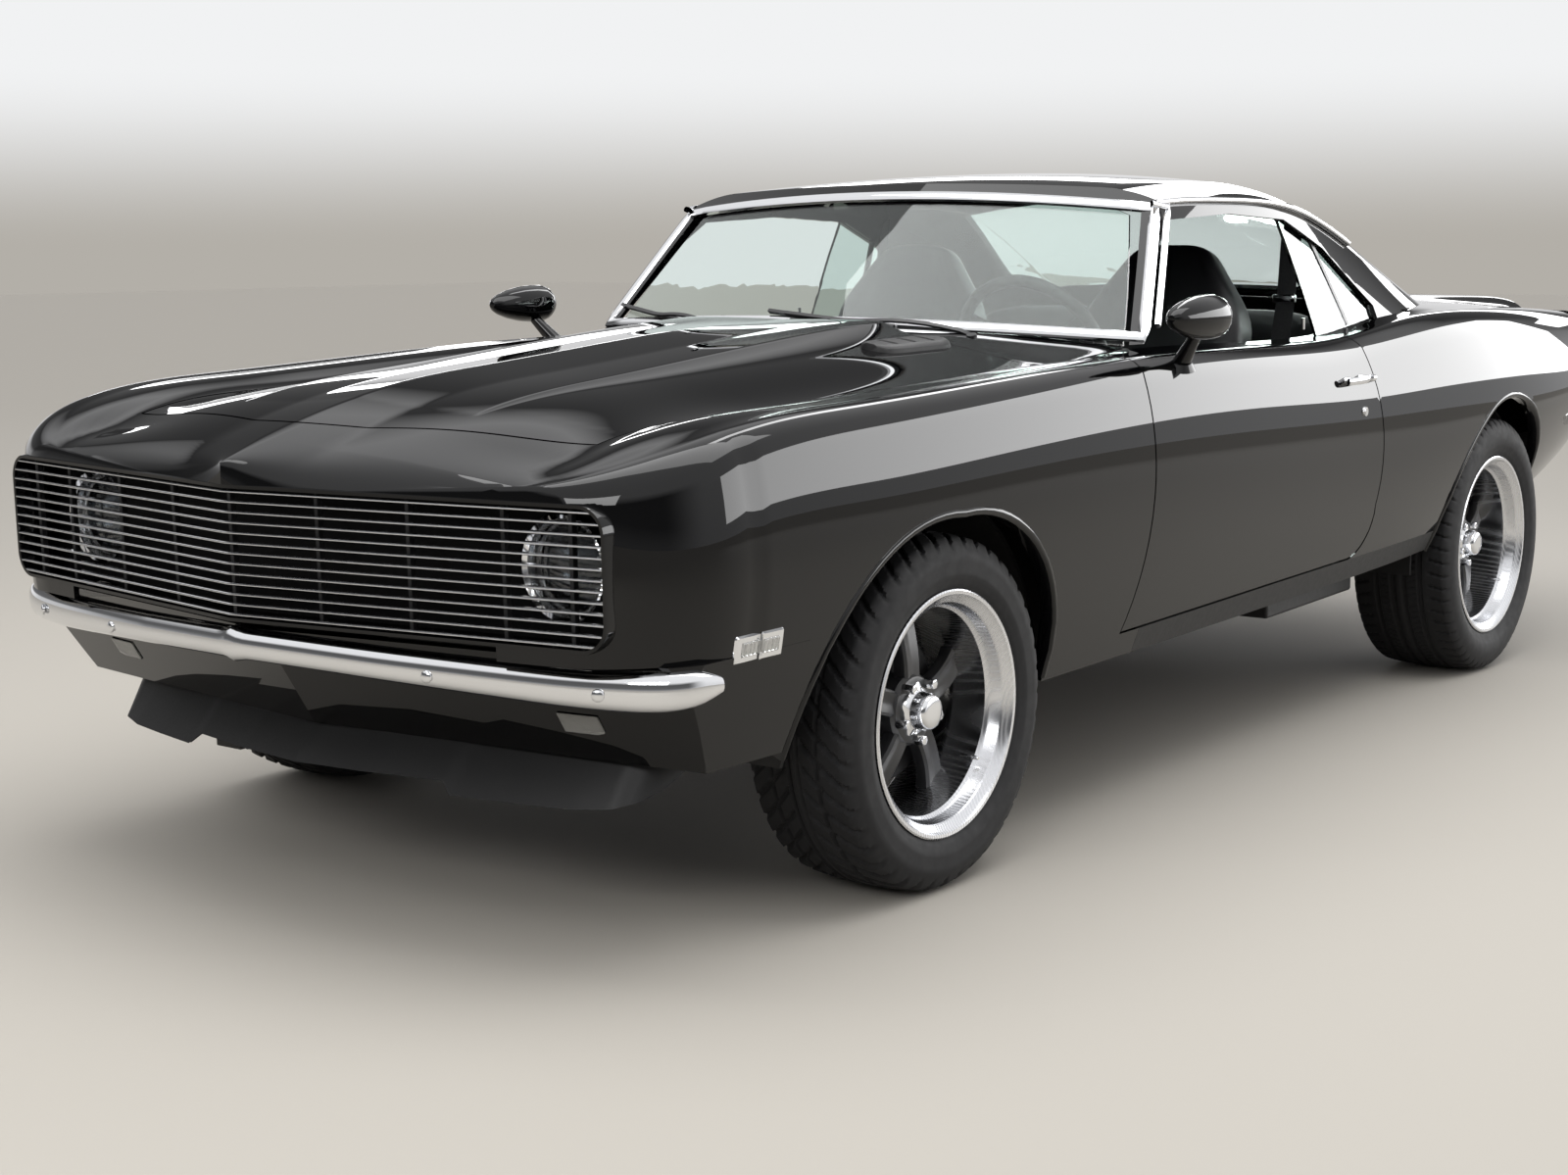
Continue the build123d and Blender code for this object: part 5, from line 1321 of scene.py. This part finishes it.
def build_fittings():
    """What is mounted on the painted panels: mirrors, handles, markers, vents, wipers and window bars."""
    for side, sign in SIDES:
        build_mirror(side, sign)
        build_handle(side, sign)
        for name, zone, surface, slot in (
            ("side_marker_frame", (-624, -508, 531, 581, 7), "chrome_plate", "chrome"),
            ("side_marker_lens", (-612, -520, 541, 571, 9, 2.0), "smoked_lens", "lamp"),
            ("rear_marker", (3310, 3400, 610, 640, 6, 1.0), "red_lens", "red_lens"),
        ):
            finished(f"{name}_{side}", marker(sign, *zone), surface, "body", 30)
        build_vent(side, sign)
    build_wipers()
    build_quarter_bars()


def build_tail():
    """Bright frames and cells of the tail lamps, and the perch boxes of the rear springs."""
    frames, cells = [], []
    for x0, x1 in ((300, 440), (456, 600)):
        for sign in (1, -1):
            corners = [(x0 + 3, 671), (x1 - 3, 671), (x1 - 3, 769), (x0 + 3, 769)]
            path = []
            for (xa, za), (xb, zb) in zip(corners, corners[1:] + corners[:1]):
                path += [((xa + (xb - xa) * i / 12) * sign, TAIL_S + 8, za + (zb - za) * i / 12) for i in range(12)]
            section = [(-5, -4), (5, -4), (5, 2), (2, 5), (-2, 5), (-5, 2)]
            frames.append(strip(path, (0, 1, 0), section, closed=True))
            for z in (695, 720, 745):
                cells.append(block(*span(x0 + 8, x1 - 8, sign), TAIL_S + 6, TAIL_S + 10, z - 1.5, z + 1.5))
    finished("tail_lamp_frames", merged(*frames), "chrome_plate", "body", 50)
    finished("tail_lamp_ribs", merged(*cells), "red_lens", "body", 30)
    perches = [block(*span(600, 700, sign), 1690, 2190, 224, 322) for sign in (1, -1)]
    rounded(finished("spring_perches", merged(*perches), "chassis_black", "body", 30), 0.008, 3)


def build_lid():
    """The trunk lid with its ducktail as one skin: its rear edge rises level to the tail's height."""
    tail_z, tail_x, rise_s, rise = 921, 592, 3440, 260

    def point(u, v):
        s = LID["front"] + (LID["rear"] - LID["front"]) * v
        x = (2 * u - 1) * (LID["front_x"] + (LID["rear_x"] - LID["front_x"]) * v)
        high = max(tail_z - top_z(x, LID["rear"]), 0)
        return place(x, s, top_z(x, s) + high * smooth((s - rise_s) / rise) ** 1.3 * (1 - abs(x / tail_x) ** 14))

    bm = upward(patch(90, 90, point), 0.02)
    rounded(finished("trunk_lid_skin", bm, "black_enamel", "trunk_lid", replaced=("trunk_lid",)))


def recolour(node, name):
    """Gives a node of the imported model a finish."""
    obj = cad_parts[node]
    for slot in obj.material_slots:
        slot.material = FINISH[name]
    if not obj.material_slots:
        obj.data.materials.append(FINISH[name])


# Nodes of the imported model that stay, by finish
NODE_FINISH = {
    "black_enamel": ("front_valance", "tail_panel", "rear_valance"),
    "chassis_black": ("inner_fenders", "floor_pan", "front_frame", "control_arms", "rear_axle"),
    "flat_black": ("lamp_panel",),
    "window_glass": ("windshield", "rear_glass"),
    "smoked_lens": ("turn_lamps",),
    "red_lens": ("tail_lamps",),
    "bare_steel": ("leaf_springs", "driveshaft", "exhaust", "fuel_tank"),
    "cast_iron": ("engine", "knuckle_left", "knuckle_right"),
    "moulded_carpet": ("parcel_shelf",),
    "moulded_black_plastic": ("dashboard", "steering_wheel"),
}


# Stage


def build_floor(look):
    """Paper floor of the studio, level under the wheels."""
    floor = bmesh.new()
    bmesh.ops.create_grid(floor, x_segments=1, y_segments=1, size=40)
    mesh = bpy.data.meshes.new("studio_floor")
    floor.to_mesh(mesh)
    floor.free()
    ground = bpy.data.objects.new("studio_floor", mesh)
    bpy.context.scene.collection.objects.link(ground)
    material = bpy.data.materials.new("studio_paper")
    material.use_nodes = True
    tree = material.node_tree
    tree.nodes.clear()
    shader = add(tree, "ShaderNodeBsdfPrincipled", {}, {"Base Color": colour(look.floor), "Roughness": 0.8})
    add(tree, "ShaderNodeOutputMaterial", {}, {"Surface": shader.outputs["BSDF"]})
    mesh.materials.append(material)


def build_world():
    """The studio's walls and ceiling, which the paint mirrors, and a plain wall for the camera."""
    world = bpy.data.worlds.new("studio_world")
    bpy.context.scene.world = world
    world.use_nodes = True
    tree = world.node_tree
    tree.nodes.clear()
    where = add(tree, "ShaderNodeTexCoord")
    split = add(tree, "ShaderNodeSeparateXYZ", {}, {"Vector": where.outputs["Generated"]})

    def sky(steps):
        """A wall and the ceiling over it by height: (height, grey) steps, the two ends first."""
        ramp = add(tree, "ShaderNodeValToRGB", {}, {"Fac": split.outputs["Z"]})
        elements = ramp.color_ramp.elements
        for i, (at, grey) in enumerate(steps):
            step = elements[i] if i < 2 else elements.new(at)
            step.position, step.color = at, (grey, grey, grey * 1.01, 1)
        return ramp.outputs["Color"]

    def eased(axis, start, end):
        """0 below the start and 1 above the end of a direction's axis."""
        limits = {"Value": split.outputs[axis], "From Min": start, "From Max": end}
        return add(tree, "ShaderNodeMapRange", {"interpolation_type": "SMOOTHSTEP"}, limits).outputs["Result"]

    def mix(share, first, second):
        made = add(tree, "ShaderNodeMix", {"data_type": "RGBA"}, {0: share, 6: first, 7: second})
        return made.outputs[2]

    behind = sky([(0.0, 0.84), (1.0, 1.0), (0.09, 0.9), (0.15, 0.16), (0.4, 0.1), (0.52, 0.9)])
    beside = sky([(0.0, 0.8), (1.0, 1.0), (0.3, 0.95)])
    ahead = sky([(0.0, 0.3), (1.0, 1.0), (0.08, 0.12), (0.3, 0.1), (0.45, 0.9)])
    room = mix(eased("Y", -0.45, 0.15), ahead, mix(eased("X", -0.1, 0.35), behind, beside))
    wall = mix(eased("Z", -0.005, 0.07), colour("#B3AFA8"), colour("#F1F2F3"))
    mirrored = add(tree, "ShaderNodeBackground", {}, {"Color": room, "Strength": 1.0})
    seen = add(tree, "ShaderNodeBackground", {}, {"Color": wall, "Strength": 1.0})
    rays = add(tree, "ShaderNodeLightPath")
    parts = {0: rays.outputs["Is Camera Ray"], 1: mirrored.outputs[0], 2: seen.outputs[0]}
    mixed = add(tree, "ShaderNodeMixShader", {}, parts)
    add(tree, "ShaderNodeOutputWorld", {}, {"Surface": mixed.outputs[0]})


# Columns: name, watts, size, place, aim, whether it lights more than gloss
LAMPS = (
    ("top_box", 160, (6.0, 3.0), (0.5, -1.0, 4.6), (0, 0, 0), True),
    ("nose_box", 70, (3.0, 1.2), (1.5, -6.5, 2.8), (0, -2, 0.6), True),
    ("side_box", 1300, (17.0, 4.5), (8.5, 9.5, 3.6), (0.9, 0.5, 0.8), False),
    ("rear_strip", 110, (14.0, 0.5), (-5.0, 8.0, 2.7), (-0.2, -1.0, 0.9), False),
    ("ceiling_strip", 90, (0.7, 7.0), (-1.2, 3.5, 4.2), (-0.2, -1.0, 0.9), False),
)


def build_lights():
    """Area lamps of the studio. Some show only as gloss in the paint."""
    for name, power, size, spot, aim, lights in LAMPS:
        lamp = bpy.data.lights.new(name, "AREA")
        lamp.energy, lamp.shape, lamp.size, lamp.size_y = power, "RECTANGLE", *size
        obj = bpy.data.objects.new(name, lamp)
        bpy.context.scene.collection.objects.link(obj)
        obj.location = spot
        obj.rotation_euler = (Vector(aim) - Vector(spot)).to_track_quat("-Z", "Y").to_euler()
        obj.visible_diffuse = lights


# The photograph's camera: focal length over picture width, sensor, eye in metres, and its turns in degrees
FOCAL, SENSOR = 2364.93 / 1600, 36
EYE = (3.17596, -3.50119 + AXLE_Y / 1000, 1.20702)
YAW, PITCH, ROLL = 37.384, 8.654, -0.217


def build_camera():
    """Stands the camera where the photograph was taken from."""
    yaw, pitch, roll = radians(YAW), radians(PITCH), radians(ROLL)
    ahead = Vector((-sin(yaw) * cos(pitch), cos(yaw) * cos(pitch), -sin(pitch)))
    right = Vector((cos(yaw), sin(yaw), 0))
    up = right.cross(ahead)
    right, up = right * cos(roll) + up * sin(roll), up * cos(roll) - right * sin(roll)
    camera = bpy.data.cameras.new("camera")
    camera.lens, camera.sensor_width = FOCAL * SENSOR, SENSOR
    eye = bpy.data.objects.new("camera", camera)
    bpy.context.scene.collection.objects.link(eye)
    eye.matrix_world = Matrix.Translation(EYE) @ Matrix((right, up, -ahead)).transposed().to_4x4()
    bpy.context.scene.camera = eye


# Add-on


def tone(name, description, code):
    """A colour property of the panel."""
    return bpy.props.FloatVectorProperty(
        name=name, description=description, default=colour(code)[:3], size=3, min=0, max=1, subtype="COLOR"
    )


class CarLook(bpy.types.PropertyGroup):
    """Sizes and colours of the car and its stage"""

    paint: tone("Paint", "Colour of the body's enamel", "#060607")
    chrome: tone("Chrome", "Colour of the plated trim", "#E8E9EB")
    polished: tone("Polished", "Colour of the polished aluminium", "#DCDDE0")
    floor: tone("Floor", "Colour of the studio's floor", "#B9B4AB")
    tread_depth: bpy.props.FloatProperty(
        name="Tread depth", description="Depth of the tyres' grooves", default=0.0065, min=0, max=0.01, precision=4,
        unit="LENGTH",
    )
    grille_bars: bpy.props.IntProperty(
        name="Grille bars", description="Number of level bars in the grille", default=13, min=5, max=21
    )


class CAR_OT_finishes(bpy.types.Operator):
    """Makes every finish and gives the carried-over nodes theirs"""

    bl_idname = "car.finishes"
    bl_label = "Finishes"

    def execute(self, context):
        make_finishes(context.scene.car_look)
        for name, nodes in NODE_FINISH.items():
            for node in nodes:
                recolour(node, name)
        return {"FINISHED"}


class CAR_OT_body(bpy.types.Operator):
    """Cuts the painted panels from one smooth body shell"""

    bl_idname = "car.body"
    bl_label = "Body panels"

    def execute(self, context):
        build_body()
        build_hood()
        build_lid()
        build_tail()
        build_roof()
        return {"FINISHED"}


class CAR_OT_wheels(bpy.types.Operator):
    """Builds wheels and treaded tyres"""

    bl_idname = "car.wheels"
    bl_label = "Wheels"

    def execute(self, context):
        build_wheels(context.scene.car_look)
        return {"FINISHED"}


class CAR_OT_nose(bpy.types.Operator):
    """Builds grille, headlamps and bumpers"""

    bl_idname = "car.nose"
    bl_label = "Nose"

    def execute(self, context):
        build_grille(context.scene.car_look)
        build_bumpers()
        build_chin()
        return {"FINISHED"}


class CAR_OT_trim(bpy.types.Operator):
    """Builds bright trim and arch lips"""

    bl_idname = "car.trim"
    bl_label = "Trim"

    def execute(self, context):
        build_trim()
        return {"FINISHED"}


class CAR_OT_interior(bpy.types.Operator):
    """Builds the padded seats and belts"""

    bl_idname = "car.interior"
    bl_label = "Interior"

    def execute(self, context):
        build_interior()
        return {"FINISHED"}


class CAR_OT_fittings(bpy.types.Operator):
    """Builds mirrors, handles, markers, vents and wipers"""

    bl_idname = "car.fittings"
    bl_label = "Fittings"

    def execute(self, context):
        build_fittings()
        return {"FINISHED"}


class CAR_OT_stage(bpy.types.Operator):
    """Sets the floor, lights, world and camera"""

    bl_idname = "car.stage"
    bl_label = "Stage"

    def execute(self, context):
        context.scene.view_settings.view_transform = "Standard"
        build_floor(context.scene.car_look)
        build_world()
        build_lights()
        build_camera()
        return {"FINISHED"}


class CAR_PT_panel(bpy.types.Panel):
    """Lists the steps that dress the car"""

    bl_label = "Muscle car"
    bl_idname = "CAR_PT_panel"
    bl_space_type = "VIEW_3D"
    bl_region_type = "UI"
    bl_category = "Muscle car"

    def draw(self, context):
        look = context.scene.car_look
        for name in CarLook.__annotations__:
            self.layout.prop(look, name)
        for step in STEPS:
            self.layout.operator(step.bl_idname)


STEPS = (CAR_OT_finishes, CAR_OT_body, CAR_OT_wheels, CAR_OT_nose, CAR_OT_trim, CAR_OT_interior, CAR_OT_fittings,
         CAR_OT_stage)


def register():
    for kind in (CarLook, *STEPS, CAR_PT_panel):
        bpy.utils.register_class(kind)
    bpy.types.Scene.car_look = bpy.props.PointerProperty(type=CarLook)


def unregister():
    del bpy.types.Scene.car_look
    for kind in (CAR_PT_panel, *STEPS[::-1], CarLook):
        bpy.utils.unregister_class(kind)


def main():
    register()
    bpy.ops.car.finishes()
    bpy.ops.car.body()
    bpy.ops.car.wheels()
    bpy.ops.car.nose()
    bpy.ops.car.trim()
    bpy.ops.car.interior()
    bpy.ops.car.fittings()
    bpy.ops.car.stage()


if __name__ == "__main__":
    main()
